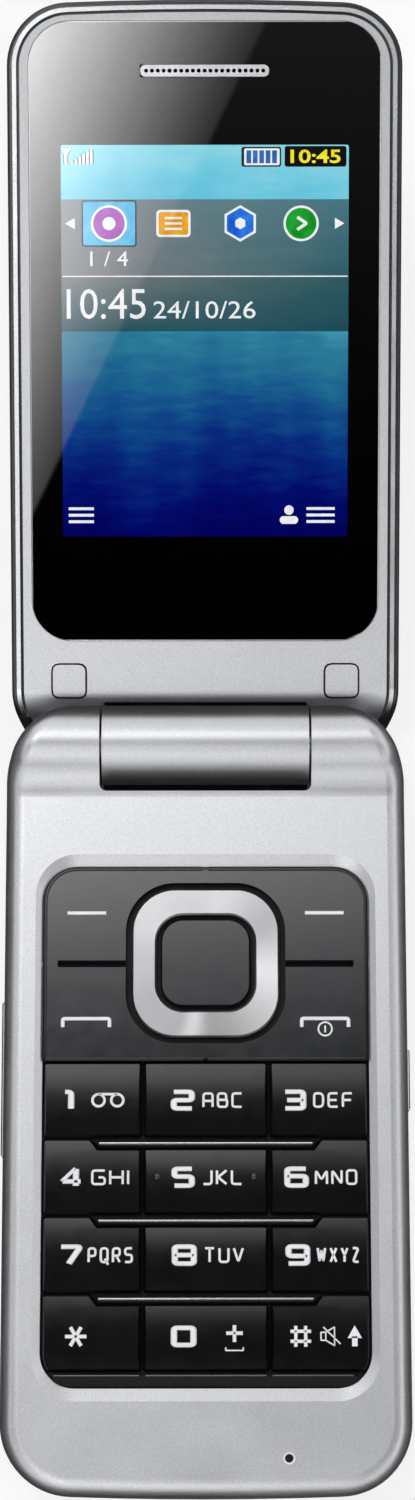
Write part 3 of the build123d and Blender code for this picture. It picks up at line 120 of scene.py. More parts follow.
# ---- legend sizes
digit_height = 2.75
digit_stroke = 0.62
digit_stretch = 1.37
slant_stroke = 0.42
letter_height = 2.05
letter_stroke = 0.33
letter_gap = 0.36
legend_rise = 0.02
row_legend_y = (-1.15, -10.97, -20.79, -30.95)
icon_stroke = 0.36
thin_stroke = 0.2
thin_ease = 0.05
hash_stroke = 0.46
sign_stroke = 0.5
function_stroke = 0.5
power_stroke = 0.24
soft_dash_y = 23.1
call_hook_y, call_hook_foot_y = 9.35, 8.25
dot_radius = 0.52
dot_sink = 0.1
film_sink = 0.02
film_thickness = 0.1
film_end = 0.28
film_from_ring = 0.85
film_from_slit = 19.15

# ---- painted shade borders, seams, painted highlight beads and the mic hole's painted light and shade
# The border round the function plate's keys is painted shade: a black line standing in for the dark gap
# round the plate.
border_half = 20.6
border_low_y = 4.1
border_high_y = 28.8
border_corner = 4.0
border_stroke = 0.5
border_start = 0.3
border_from_split = 0.1
seam_stroke = 0.24
# The beads on the ribs and the chin strip are painted highlights: bright metal lines standing in for the
# gloss along the black ridges.
bead_stroke = 0.3
bead_half = 13.6
bead_y = (-6.62, -16.44, -26.26)
chin_bead_y = -35.8
chin_bead_spans = ((-19.2, -8.4), (-7.6, 7.6), (8.4, 18.6))
base_top = 9.4
rib_top = 9.0
cap_x = 17.95
cap_v = 8.2
cap_seam_half = 2.26
mic_x = 10.4
mic_y = -46.0
mic_radius = 0.52
mic_ring_radius = 0.66

# ---- valley behind the barrel, with its painted shadow strip
valley_half = 13.35
valley_low_v = 4.0
valley_high_v = 5.35
valley_bead_v = 4.12
valley_face_w = 2.7
valley_floor_w = 3.4
valley_lip_v = 7.257
valley_lip_radius = 5.5
strip_sink = 0.03
strip_thickness = 0.04


# ---- shader helpers
def node(tree, kind, inputs, **settings):
    """Adds a shader node. Each input is a plain value or another node's output."""
    made = tree.nodes.new("ShaderNode" + kind)
    for name, value in settings.items():
        setattr(made, name, value)
    for socket, source in inputs.items():
        if isinstance(source, bpy.types.NodeSocket):
            tree.links.new(source, made.inputs[socket])
        else:
            made.inputs[socket].default_value = source
    return made


def finish(name, plain):
    """A new material whose Principled shader has these plain values."""
    material = bpy.data.materials.new(name)
    material.use_nodes = True
    shader = material.node_tree.nodes["Principled BSDF"]
    for socket, value in plain.items():
        shader.inputs[socket].default_value = value
    return material, material.node_tree, shader


def surface_place(tree):
    """Where a point of the piece lies, in metres in the row frame."""
    return tree.nodes.new("ShaderNodeTexCoord").outputs["Object"]


def lid_surface_place(tree):
    """Where a point lies in the lid's own directions: x, v and minus w."""
    turned = node(tree, "Mapping", {
        "Vector": surface_place(tree), "Location": hinge_place, "Rotation": (lid_turn, 0, 0),
    }, vector_type="TEXTURE")
    return turned.outputs["Vector"]


def part_of(tree, place, axis):
    """One coordinate of a place."""
    return node(tree, "SeparateXYZ", {"Vector": place}).outputs[axis]


def between(tree, value, low, high, to_low=0.0, to_high=1.0):
    """A value carried from one range to another."""
    return node(tree, "MapRange", {
        "Value": value, "From Min": low, "From Max": high, "To Min": to_low, "To Max": to_high,
    }).outputs["Result"]


def sum_of(tree, first, second, operation="ADD"):
    """Two values added, or worked out by another operation."""
    made = node(tree, "Math", {0: first, 1: second}, operation=operation)
    return made.outputs["Value"]


def times(tree, first, second):
    """Two values multiplied."""
    return sum_of(tree, first, second, "MULTIPLY")


def colour(text):
    """A colour written as six hexadecimal digits of the screen's own scale."""
    parts = [int(text[index:index + 2], 16) / 255 for index in (0, 2, 4)]
    linear = [part / 12.92 if part < 0.04045 else ((part + 0.055) / 1.055)**2.4 for part in parts]
    return (*linear, 1.0)


def tint(tree, value, stops, interpolation="LINEAR"):
    """A colour that follows a value through stops of place and colour."""
    made = tree.nodes.new("ShaderNodeValToRGB")
    ramp = made.color_ramp
    ramp.interpolation = interpolation
    while len(ramp.elements) < len(stops):
        ramp.elements.new(0.5)
    for element, (place, shade) in zip(ramp.elements, stops):
        element.position = place
        element.color = colour(shade)
    tree.links.new(value, made.inputs["Fac"])
    return made.outputs["Color"]


def grain(tree, place, size, detail=2.0, stretch=(1, 1, 1)):
    """Noise whose spots are about this size in millimetres."""
    scaled = node(tree, "Mapping", {"Vector": place, "Scale": stretch}).outputs["Vector"]
    made = node(tree, "TexNoise", {"Vector": scaled, "Scale": 1 / (size * MM), "Detail": detail})
    return made.outputs["Fac"]


def relief(tree, shader, height, depth):
    """Gives a surface a relief of this depth in millimetres."""
    bump = node(tree, "Bump", {"Height": height, "Distance": depth * MM, "Strength": 1.0})
    tree.links.new(bump.outputs["Normal"], shader.inputs["Normal"])


def grained_finish(name, dark, light, size, rough, depth, plain, stretch=(1, 1, 1)):
    """A moulded, painted or metal finish: colour, roughness and relief from one grain."""
    material, tree, shader = finish(name, plain)
    place = surface_place(tree)
    fine = grain(tree, place, size, 3.0, stretch)
    broad = grain(tree, place, size * 30)
    mixed = sum_of(tree, times(tree, fine, 0.6), times(tree, broad, 0.4))
    tree.links.new(tint(tree, mixed, [(0.3, dark), (0.7, light)]), shader.inputs["Base Color"])
    tree.links.new(between(tree, broad, 0.3, 0.7, *rough), shader.inputs["Roughness"])
    relief(tree, shader, fine, depth)
    return material


# ---- finishes
def silver_paint_finish():
    """Satin silver paint: fine flakes in the coat, slightly uneven gloss."""
    material, tree, shader = finish("satin_silver", {
        "Metallic": 0.95, "Coat Weight": 0.1, "Coat Roughness": 0.3,
    })
    place = surface_place(tree)
    flake = grain(tree, place, 0.16)
    cloud = grain(tree, place, 9.0)
    mixed = sum_of(tree, times(tree, flake, 0.85), times(tree, cloud, 0.15))
    shade = tint(tree, mixed, [(0.3, "c3c4c8"), (0.5, "d1d2d5"), (0.7, "dddee1")])
    tree.links.new(shade, shader.inputs["Base Color"])
    tree.links.new(between(tree, cloud, 0.3, 0.7, 0.36, 0.40), shader.inputs["Roughness"])
    relief(tree, shader, flake, 0.0012)
    return material


def ring_metal_finish():
    """Bright metal, brushed round the middle of the ring. Its colour carries painted highlights: bright and
    dark fans by angle that stand in for the spun metal's reflections.
    """
    material, tree, shader = finish("spun_ring_metal", {"Metallic": 1.0, "Anisotropic": 0.8})
    low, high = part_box("nav_ring")
    middle = (low + high) / 2
    centred = node(tree, "Mapping", {
        "Vector": surface_place(tree), "Location": (-middle.x, -middle.y, 0),
    }).outputs["Vector"]
    across = part_of(tree, centred, "X")
    along = part_of(tree, centred, "Y")
    reach = sum_of(tree, times(tree, across, across), times(tree, along, along))
    circles = node(tree, "CombineXYZ", {"X": sum_of(tree, reach, 0.5, "POWER")}).outputs["Vector"]
    brushed = grain(tree, circles, 0.05, 4.0)
    turn = between(tree, sum_of(tree, along, across, "ARCTAN2"), -pi, pi)
    # Painted highlights: bright and dark wedges round the ring, standing in for reflection fans.
    painted_fans = tint(tree, turn, [
        (0.0, "c8c8cb"), (0.1, "b4b4b7"), (0.18, "b8b8bb"), (0.22, "ececee"), (0.26, "c8c8cb"),
        (0.38, "f4f4f6"), (0.47, "fafafc"), (0.6, "b8b8bb"), (0.74, "d8d8db"), (0.86, "fafafc"),
        (1.0, "c8c8cb"),
    ], "EASE")
    streaks = tint(tree, brushed, [(0.3, "d6d6d8"), (0.7, "ffffff")])
    shade = node(tree, "MixRGB", {"Fac": 1.0, "Color1": painted_fans, "Color2": streaks}, blend_type="MULTIPLY")
    tree.links.new(shade.outputs["Color"], shader.inputs["Base Color"])
    tree.links.new(between(tree, brushed, 0.3, 0.7, 0.26, 0.38), shader.inputs["Roughness"])
    round_middle = node(tree, "Tangent", {}, direction_type="RADIAL", axis="Z")
    tree.links.new(round_middle.outputs["Tangent"], shader.inputs["Tangent"])
    relief(tree, shader, brushed, 0.003)
    return material


def key_finish(name, dark, light, gloss, rough):
    """Moulded key: fine sparkle in a dark coat, satin."""
    material, tree, shader = finish(name, {"Specular IOR Level": gloss})
    place = surface_place(tree)
    sparkle = grain(tree, place, 0.11, 1.0)
    cloud = grain(tree, place, 2.0)
    tree.links.new(tint(tree, sparkle, [(0.3, dark), (0.72, light)]), shader.inputs["Base Color"])
    tree.links.new(between(tree, cloud, 0.3, 0.7, *rough), shader.inputs["Roughness"])
    relief(tree, shader, sparkle, 0.0015)
    return material


def clear_glass_finish():
    """Polished clear window with the faintest unevenness."""
    material, tree, shader = finish("clear_window", {
        "Base Color": (1, 1, 1, 1), "Transmission Weight": 1.0, "IOR": 1.5, "Roughness": 0.0,
    })
    relief(tree, shader, grain(tree, surface_place(tree), 30.0), 0.0005)
    return material


def board_finish():
    """Green board: solder mask over fine tracks, with small gilt pads."""
    material, tree, shader = finish("green_board", {"Roughness": 0.42, "Coat Weight": 0.3})
    place = surface_place(tree)
    tracks = node(tree, "TexBrick", {
        "Vector": place, "Color1": colour("12462a"), "Color2": colour("17552f"),
        "Mortar": colour("2f7d4c"), "Scale": 1 / (6 * MM), "Mortar Size": 0.03,
    })
    pads = node(tree, "TexVoronoi", {"Vector": place, "Scale": 1 / (2.6 * MM)})
    mask = between(tree, pads.outputs["Distance"], 0.10, 0.13)
    mixed = node(tree, "MixRGB", {
        "Fac": mask, "Color1": colour("c9a04a"), "Color2": tracks.outputs["Color"],
    })
    tree.links.new(mixed.outputs["Color"], shader.inputs["Base Color"])
    relief(tree, shader, mask, 0.02)
    return material


def brushed_finish(name, dark, light, stretch):
    """Bare sheet or turned metal with its brushing drawn out one way."""
    return grained_finish(name, dark, light, 0.12, (0.25, 0.42), 0.004, {"Metallic": 1.0}, stretch)


finishes = {
    "silver_paint": silver_paint_finish(),
    "dark_shell": grained_finish(
        "dark_shell_gloss", "15161a", "24262b", 0.15, (0.16, 0.30), 0.003,
        {"Coat Weight": 0.4, "Coat Roughness": 0.1},
    ),
    "trim_chrome": grained_finish(
        "bright_trim", "cfd1d4", "dfe1e4", 0.2, (0.22, 0.28), 0.0006, {"Metallic": 1.0},
    ),
    "ring_metal": ring_metal_finish(),
    "key_dark": key_finish("function_key_grey", "0e1014", "1a1d23", 1.0, (0.11, 0.14)),
    "key_black": key_finish("number_key_black", "040506", "0b0c0f", 0.5, (0.15, 0.18)),
    "web_black": grained_finish(
        "matt_web", "020203", "09090b", 0.2, (0.4, 0.55), 0.004, {"Specular IOR Level": 0.25},
    ),
    "glass": clear_glass_finish(),
    "display": grained_finish("panel_edge", "0a0c10", "14171d", 0.3, (0.3, 0.4), 0.002, {}),
    "tin": brushed_finish("tinned_sheet", "8f9297", "c3c5c9", (1, 8, 8)),
    "hinge_steel": brushed_finish("turned_steel", "777a80", "b4b6bb", (12, 1, 1)),
    "board_green": board_finish(),
    "black_plastic": grained_finish(
        "grained_black_plastic", "0d0e10", "1c1d20", 0.25, (0.45, 0.6), 0.008, {},
    ),
    "soft_rubber": grained_finish("matt_rubber", "8f9093", "a6a7aa", 0.2, (0.5, 0.65), 0.006, {}),
    "battery_case": grained_finish(
        "battery_wrap", "3b3d42", "55585e", 0.3, (0.35, 0.5), 0.004, {"Coat Weight": 0.2},
    ),
    "flex_amber": grained_finish(
        "amber_film", "7a4310", "a9641f", 0.6, (0.25, 0.35), 0.003, {"Coat Weight": 0.3},
    ),
    "brass": brushed_finish("gilt_metal", "b98d3c", "e6c26c", (1, 10, 1)),
}
for piece in nodes.values():
    for slot in piece.material_slots:
        slot.material = finishes[slot.material.name]


# ---- modelling helpers
def start_piece():
    """Leaves nothing selected before a new piece is added."""
    bpy.ops.object.select_all(action="DESELECT")


def only(piece):
    """Selects one piece alone and makes it the active one."""
    start_piece()
    piece.select_set(True)
    bpy.context.view_layer.objects.active = piece


def settle(piece, body, material, place=None):
    """Brings a finished piece to its place in the mesh, gives it its finish and lets it ride on its body."""
    only(piece)
    if place is not None:
        piece.matrix_world = place @ piece.matrix_world
    bpy.ops.object.transform_apply()
    piece.data.materials.clear()
    piece.data.materials.append(material)
    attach(piece, body)
    return piece


def thicken(piece, thickness):
    """Gives a flat face its thickness, upwards."""
    only(piece)
    solid = piece.modifiers.new("thickness", "SOLIDIFY")
    solid.thickness = thickness * MM
    solid.offset = 1
    bpy.ops.object.modifier_apply(modifier=solid.name)


def flat_outline(name, x0, x1, y0, y1, z, corner):
    """A flat face between two corners, with round corners."""
    start_piece()
    bpy.ops.mesh.primitive_plane_add(size=MM, location=Vector(((x0 + x1) / 2, (y0 + y1) / 2, z)) * MM)
    piece = bpy.context.object
    piece.name = name
    piece.scale = (x1 - x0, y1 - y0, 1)
    bpy.ops.object.transform_apply()
    if corner:
        bpy.ops.object.mode_set(mode="EDIT")
        bpy.ops.mesh.bevel(offset=corner * MM, segments=6, affect="VERTICES")
        bpy.ops.object.mode_set(mode="OBJECT")
    return piece


def plate(name, x0, x1, y0, y1, z0, z1, corner=0.0):
    """A thin plate with round corners."""
    piece = flat_outline(name, x0, x1, y0, y1, z0, corner)
    thicken(piece, z1 - z0)
    return piece


def disc(name, x, y, radius, z0, z1, sides=32):
    """A thin round plate, or one with few sides."""
    start_piece()
    bpy.ops.mesh.primitive_circle_add(
        vertices=sides, radius=radius * MM, fill_type="NGON", location=Vector((x, y, z0)) * MM,
    )
    piece = bpy.context.object
    piece.name = name
    thicken(piece, z1 - z0)
    return piece


def joined(name, pieces):
    """Several pieces made one."""
    start_piece()
    for piece in pieces:
        piece.select_set(True)
    bpy.context.view_layer.objects.active = pieces[0]
    if len(pieces) > 1:
        bpy.ops.object.join()
    pieces[0].name = name
    return pieces[0]


# ---- line work
def eased(points, closed, reach):
    """The points of a line with each corner cut to a short arc."""
    count = len(points)
    result = []
    for index, point in enumerate(points):
        if not closed and index in (0, count - 1):
            result.append(point)
            continue
        here = Vector(point)
        before = Vector(points[index - 1])
        after = Vector(points[(index + 1) % count])
        start = here + (before - here).normalized() * min(reach, (before - here).length / 2)
        end = here + (after - here).normalized() * min(reach, (after - here).length / 2)
        for step in range(4):
            share = step / 3
            result.append(tuple(
                start * (1 - share)**2 + here * 2 * share * (1 - share) + end * share**2
            ))
    return result


def line_work(name, lines, stroke, z, stretch=1.0, ease=0.35):
    """Raised printed lines: flattened tubes along lines given in millimetres."""
    curve = bpy.data.curves.new(name, "CURVE")
    curve.dimensions = "3D"
    curve.bevel_depth = stroke / 2 * MM
    curve.bevel_resolution = 1
    curve.use_fill_caps = True
    for line in lines:
        closed = len(line) > 2 and line[0] == line[-1]
        flat = [(x / stretch, y) for x, y in (line[:-1] if closed else line)]
        points = eased(flat, closed, ease)
        spline = curve.splines.new("POLY")
        spline.points.add(len(points) - 1)
        for point, (x, y) in zip(spline.points, points):
            point.co = (x * MM, y * MM, 0, 1)
        spline.use_cyclic_u = closed
    piece = bpy.data.objects.new(name, curve)
    scene.collection.objects.link(piece)
    only(piece)
    bpy.ops.object.convert(target="MESH")
    piece.scale = (stretch, 1, legend_rise / (stroke / 2))
    piece.location.z = z * MM
    bpy.ops.object.transform_apply()
    return piece


# Glyphs are centre lines on a grid 10 wide and 10 high. A line is its points, and a bar parts two lines.
glyphs = {
    "0": "0,0 0,10 10,10 10,0 0,0",
    "1": "0,10 5.5,10 5.5,0",
    "2": "0,10 10,10 10,5 0,5 0,0 10,0",
    "3": "0,10 10,10 10,0 0,0 | 1,5 10,5",
    "4": "7.6,0 7.6,10 | 0.6,2.6 10,2.6",
    "^": "7.4,10.4 0.2,2.7",
    "5": "10,10 0,10 0,5.4 10,5.4 10,0 0,0",
    "6": "10,10 0,10 0,0 10,0 10,5.6 0,5.6",
    "7": "0,10 10,10 4,0",
    "8": "0,0 0,10 10,10 10,0 0,0 | 0,5 10,5",
    "9": "0,0 10,0 10,10 0,10 0,4.4 10,4.4",
    "A": "0,0 0,10 10,10 10,0 | 0,4.4 10,4.4",
    "B": "0,0 0,10 9,10 9,5.2 10,5.2 10,0 0,0 | 0,5.2 9,5.2",
    "C": "10,10 0,10 0,0 10,0",
    "D": "0,0 0,10 8,10 10,8 10,2 8,0 0,0",
    "E": "10,10 0,10 0,0 10,0 | 0,5 9,5",
    "F": "10,10 0,10 0,0 | 0,5 9,5",
    "G": "10,10 0,10 0,0 10,0 10,5 5,5",
    "H": "0,0 0,10 | 10,0 10,10 | 0,5 10,5",
    "I": "5,0 5,10",
    "J": "10,10 10,0 0,0",
    "K": "0,0 0,10 | 10,10 1,5 10,0",
    "L": "0,10 0,0 10,0",
    "M": "0,0 0,10 5,3 10,10 10,0",
    "N": "0,0 0,10 10,0 10,10",
    "O": "0,0 0,10 10,10 10,0 0,0",
    "P": "0,0 0,10 10,10 10,4.4 0,4.4",
    "Q": "0,0 0,10 10,10 10,0 0,0 | 6,2.5 11,-2",
    "R": "0,0 0,10 10,10 10,4.6 0,4.6 | 5,4.6 10,0",
    "S": "10,10 0,10 0,5.3 10,5.3 10,0 0,0",
    "T": "0,10 10,10 | 5,10 5,0",
    "U": "0,10 0,0 10,0 10,10",
    "V": "0,10 5,0 10,10",
    "W": "0,10 2.5,0 5,9 7.5,0 10,10",
    "X": "0,10 10,0 | 0,0 10,10",
    "Y": "0,10 5,4.6 10,10 | 5,4.6 5,0",
    "Z": "0,10 10,10 0,0 10,0",
}
glyph_widths = {"I": 0.1, "1": 0.62, "M": 1.2, "W": 1.3, "J": 0.85}


def glyph_lines(text, x0, x1, y, height, stroke, gap, stretch=1.0):
    """Centre lines of a word set between two x values and centred on y."""
    widths = [glyph_widths.get(letter, 1.0) for letter in text]
    upright = stroke * stretch
    room = x1 - x0 - upright * len(text) - gap * (len(text) - 1)
    unit = room / sum(widths)
    low = y - (height - stroke) / 2
    lines = []
    left = x0 + upright / 2
    for letter, width in zip(text, widths):
        across = unit * width
        grid = 6.0 if letter == "1" else 10.0
        shift = 5.0 if letter == "I" else 0.0
        for line in glyphs[letter].split("|"):
            points = [[float(part) for part in point.split(",")] for point in line.split()]
            lines.append([
                (left + (px - shift) * across / grid, low + py * (height - stroke) / 10) for px, py in points
            ])
        left += across + upright + gap
    return lines


def digit(text, x0, x1, y, z):
    """A wide, bold digit."""
    lines = glyph_lines(text, x0, x1, y, digit_height, digit_stroke, 0, digit_stretch)
    return line_work("digit", lines, digit_stroke, z, digit_stretch, ease=0.3)


def letters(text, x0, x1, y, z):
    """Narrow light letters beside a digit."""
    lines = glyph_lines(text, x0, x1, y, letter_height, letter_stroke, letter_gap)
    return line_work("letters", lines, letter_stroke, z)


def arc_line(x, y, radius, start, end, steps=20):
    """Points along an arc."""
    turns = [start + (end - start) * step / steps for step in range(steps + 1)]
    return [(x + radius * cos(turn), y + radius * sin(turn)) for turn in turns]


# ---- legends on the keys
legend_print = grained_finish("legend_print", "dcdee1", "f0f1f3", 0.1, (0.4, 0.5), 0.002, {})
number_legends = {
    "2": ((-4.5, -1.35), "ABC", (-0.45, 4.75)),
    "3": ((9.75, 12.9), "DEF", (13.7, 18.85)),
    "4": ((-18.8, -15.5), "GHI", (-14.6, -9.55)),
    "5": ((-4.4, -1.35), "JKL", (-0.45, 4.7)),
    "6": ((9.95, 13.15), "MNO", (13.85, 19.3)),
    "7": ((-18.75, -15.45), "PQRS", (-15.0, -9.2)),
    "8": ((-4.35, -1.1), "TUV", (-0.25, 4.85)),
    "9": ((10.05, 13.25), "WXYZ", (14.0, 19.5)),
}


def number_key_legends():
    """A digit and its letters on each of the keys from 2 to 9."""
    for number, (number_x, word, word_x) in number_legends.items():
        y = row_legend_y[(int(number) - 1) // 3]
        pieces = [digit(number, *number_x, y, key_top), letters(word, *word_x, y, key_top)]
        if number == "4":
            slant = glyph_lines("^", *number_x, y, digit_height, digit_stroke, 0, digit_stretch)
            pieces.append(line_work("slant", slant, slant_stroke, key_top, digit_stretch))
        body = "key_" + number
        settle(joined("legend_" + body, pieces), body, legend_print)


def key_1_legend():
    """The digit 1 and two joined circles."""
    y = row_legend_y[0]
    radius = 0.78
    left, right = -13.7, -11.3
    circles = [arc_line(x, y, radius, 0, 2 * pi) for x in (left, right)]
    bar = [(left, y + radius), (right, y + radius)]
    icon = line_work("circles", [*circles, bar], icon_stroke, key_top)
    settle(joined("legend_key_1", [digit("1", -18.4, -16.7, y, key_top), icon]), "key_1", legend_print)


def key_star_legend():
    """Six-armed star."""
    x, y, arm = -16.4, row_legend_y[3], 1.35
    arms = [
        [(x - arm * cos(turn), y - arm * sin(turn)), (x + arm * cos(turn), y + arm * sin(turn))]
        for turn in (0, pi / 3, 2 * pi / 3)
    ]
    settle(line_work("legend_key_star", arms, sign_stroke, key_top), "key_star", legend_print)


def key_0_legend():
    """The digit 0, and a plus over a bracket."""
    y = row_legend_y[3]
    x = 3.6
    cross = [[(x - 1.05, y + 0.4), (x + 1.05, y + 0.4)], [(x, y + 1.4), (x, y - 0.7)]]
    plus = line_work("plus", cross, sign_stroke, key_top)
    half, foot, rise = 1.1, y - 1.75, y - 1.35
    ends = [[(x - half, rise), (x - half, foot), (x + half, foot), (x + half, rise)]]
    bracket = line_work("bracket", ends, thin_stroke, key_top, ease=thin_ease)
    pieces = [digit("0", -4.45, -1.15, y, key_top), plus, bracket]
    settle(joined("legend_key_0", pieces), "key_0", legend_print)


def key_hash_legend():
    """Hash, a struck-out horn and an arrow up."""
    y = row_legend_y[3]
    x, arm, step = 11.95, 1.3, 0.62
    bars = [[(x - arm, y + shift), (x + arm, y + shift)] for shift in (-step, step)]
    posts = [[(x + shift, y - arm), (x + shift, y + arm)] for shift in (-step, step)]
    sign = line_work("hash", bars + posts, hash_stroke, key_top)
    left = 14.5
    neck, mouth = left + 0.6, left + 1.7
    low, high = y - 0.5, y + 0.5
    wide_low, wide_high = y - 1.15, y + 1.15
    horn = [
        [(left, low), (left, high), (neck, high), (neck, low), (left, low)],
        [(neck, high), (mouth, wide_high), (mouth, wide_low), (neck, low)],
        [(left + 0.3, wide_high), (left + 2.45, y - 0.95)],
    ]
    horn_lines = line_work("horn", horn, thin_stroke, key_top, ease=thin_ease)
    tip = 18.75
    arrow = disc("arrow", tip, y + 0.3, 1.05, key_top, key_top + legend_rise, 3)
    stem = plate("stem", tip - 0.35, tip + 0.35, y - 1.25, y, key_top, key_top + legend_rise)
    settle(joined("legend_key_hash", [sign, horn_lines, arrow, stem]), "key_hash", legend_print)


def function_key_legends():
    """Dashes on the soft keys and brackets on the call keys, with a small power sign on the right one."""
    for side, soft, call in ((-1, "left_soft_key", "send_key"), (1, "right_soft_key", "end_key")):
        line = [(side * 12.85, soft_dash_y), (side * 17.85, soft_dash_y)]
        dash = line_work("legend_" + soft, [line], function_stroke, plate_top)
        settle(dash, soft, legend_print)
        near, far = side * 12.35, side * 18.35
        hook = [[(near, call_hook_foot_y), (near, call_hook_y), (far, call_hook_y), (far, call_hook_foot_y)]]
        pieces = [line_work("hook", hook, function_stroke, plate_top, ease=0.25)]
        if side > 0:
            x, y = 15.35, 8.0
            power = [arc_line(x, y, 0.88, 0, 2 * pi), [(x, y + 0.45), (x, y - 0.45)]]
            pieces.append(line_work("power", power, power_stroke, plate_top))
        settle(joined("legend_" + call, pieces), call, legend_print)


def key_5_dots():
    """Two small domes that let a finger find the middle key."""
    polished = grained_finish(
        "polished_black", "020203", "060607", 0.2, (0.08, 0.12), 0.0005, {"Specular IOR Level": 0.9},
    )
    for side, x in (("left", -6.2), ("right", 6.1)):
        start_piece()
        bpy.ops.mesh.primitive_uv_sphere_add(
            segments=24, ring_count=12, radius=dot_radius * MM,
            location=Vector((x, row_legend_y[1] + 0.1, key_top - dot_sink)) * MM,
        )
        dot = bpy.context.object
        dot.name = "key_5_dot_" + side
        dot.scale.z = 0.8
        bpy.ops.object.shade_smooth()
        settle(dot, "key_5", polished)


def plate_seam_film():
    """A thin elastic film that closes the seams between the four keys of the function plate."""
    soft_low, soft_high = [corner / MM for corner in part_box("left_soft_key")]
    call_low, call_high = [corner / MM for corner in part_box("end_key")]
    ring_low, ring_high = [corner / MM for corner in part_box("nav_ring")]
    z0, z1 = plate_top - film_sink - film_thickness, plate_top - film_sink
    x0, x1 = soft_high.x, call_low.x
    pieces = [
        plate("far", x0, x1, ring_high.y + film_from_ring, soft_high.y - film_end, z0, z1),
        plate("near", x0, x1, call_low.y + film_end, ring_low.y - film_from_ring, z0, z1),
        plate("left", soft_low.x + film_end, -film_from_slit, call_high.y, soft_low.y, z0, z1),
        plate("right", film_from_slit, call_high.x - film_end, call_high.y, soft_low.y, z0, z1),
    ]
    settle(joined("plate_seam_film", pieces), "base", finishes["key_dark"])


def quarter_border(side, upper):
    """Centre line of the painted shade border round one key of the function plate."""
    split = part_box("left_soft_key")[0].y / MM
    if upper:
        x, y = border_half - border_corner, border_high_y - border_corner
        turn = arc_line(x, y, border_corner, pi / 2, 0, 8)
        line = [(border_start, border_high_y), *turn, (border_half, split + border_from_split)]
    else:
        line = [(x, border_low_y) for x in (border_start, border_half)]
        line.append((border_half, split - border_from_split))
    return [(side * x, y) for x, y in line]


def plate_shade_borders():
    """Painted shade: a black border along the outer edge of each key of the function plate, standing in for
    the dark gap round the plate.
    """
    for body, side, upper in (
        ("left_soft_key", -1, True), ("right_soft_key", 1, True),
        ("send_key", -1, False), ("end_key", 1, False),
    ):
        line = quarter_border(side, upper)
        border = line_work("border_" + body, [line], border_stroke, plate_top - 0.01, ease=0.3)
        settle(border, body, finishes["key_black"])


def rib_highlight_beads():
    """Painted highlights: a fine bright metal bead along the middle of each rib between the key rows, and
    dimmer ones along the chin strip, standing in for the gloss on the black ridges.
    """
    metal = {"Metallic": 1.0}
    bright = grained_finish("rib_highlight_metal", "b4b6ba", "cfd1d5", 0.2, (0.15, 0.22), 0.001, metal)
    beads = [[(-bead_half, y), (bead_half, y)] for y in bead_y]
    settle(line_work("rib_highlight_beads", beads, bead_stroke, rib_top), "base", bright)
    dim = grained_finish("chin_highlight_metal", "5c5e62", "74767a", 0.2, (0.2, 0.3), 0.001, metal)
    beads = [[(x0, chin_bead_y), (x1, chin_bead_y)] for x0, x1 in chin_bead_spans]
    settle(line_work("chin_highlight_beads", beads, thin_stroke, rib_top), "base", dim)


def cap_seams():
    """Dark seam round each square cap on the lid."""
    lines = []
    for side in (-1, 1):
        x0, x1 = side * cap_x - cap_seam_half, side * cap_x + cap_seam_half
        v0, v1 = cap_v - cap_seam_half, cap_v + cap_seam_half
        lines.append([(x0, v0), (x0, v1), (x1, v1), (x1, v0), (x0, v0)])
    seams = line_work("cap_seams", lines, seam_stroke, -valley_face_w, ease=1.0)
    settle(seams, "lid", finishes["web_black"], lid_place)


def mic_hole_light_and_shade():
    """Painted light and shade at the talking hole in the chin: a pale rim stands in for the highlight on the
    hole's bevel, and a black disc for the shade inside the hole.
    """
    z = base_top
    rim = line_work("mic_rim_highlight", [arc_line(mic_x, mic_y, mic_ring_radius, 0, 2 * pi, 24)], 0.22, z, ease=0.02)
    settle(rim, "base", grained_finish("pale_rim_highlight", "e6e7e9", "f6f6f7", 0.1, (0.3, 0.4), 0.001, {}))
    hole_shade = disc("mic_hole_shade", mic_x, mic_y, mic_radius, z - 0.01, z + 0.01)
    settle(hole_shade, "base", finishes["web_black"])


def valley_shadow_strip():
    """Black strip laid in the valley between the lid's face and the barrel: painted shade, a dark sheet
    standing in for the valley's shadow.
    """
    start_piece()
    bpy.ops.mesh.primitive_grid_add(x_subdivisions=1, y_subdivisions=14, size=1)
    strip = bpy.context.object
    strip.name = "valley_shadow_strip"
    for vertex in strip.data.vertices:
        share = vertex.co.y + 0.5
        v = valley_low_v + (valley_high_v - valley_low_v) * share
        lip_drop = valley_lip_radius - (max(valley_lip_radius**2 - (valley_lip_v - v)**2, 0))**0.5
        w = min(valley_face_w + lip_drop, valley_floor_w)
        vertex.co = Vector((vertex.co.x * 2 * valley_half, v, strip_sink - w)) * MM
    thicken(strip, strip_thickness)
    settle(strip, "lid", finishes["web_black"], lid_place)
    line = [(-valley_half, valley_bead_v), (valley_half, valley_bead_v)]
    bead = line_work("barrel_bead", [line], seam_stroke, -valley_floor_w)
    settle(bead, "lid", finishes["silver_paint"], lid_place)


number_key_legends()
plate_seam_film()
valley_shadow_strip()
key_1_legend()
key_star_legend()
key_0_legend()
key_hash_legend()
function_key_legends()
key_5_dots()
plate_shade_borders()
rib_highlight_beads()
cap_seams()
mic_hole_light_and_shade()


# ---- display
def glowing(name):
    """A new material that only gives light."""
    return finish(name, {"Base Color": (0, 0, 0, 1), "Specular IOR Level": 0.0, "Emission Strength": 1.0})


def lit_finish(name, dark, light):
    """A backlit print: its colour is light, gently uneven."""
    material, tree, shader = glowing(name)
    uneven = grain(tree, surface_place(tree), 1.5)
    tree.links.new(tint(tree, uneven, [(0.3, dark), (0.7, light)]), shader.inputs["Emission Color"])
    return material


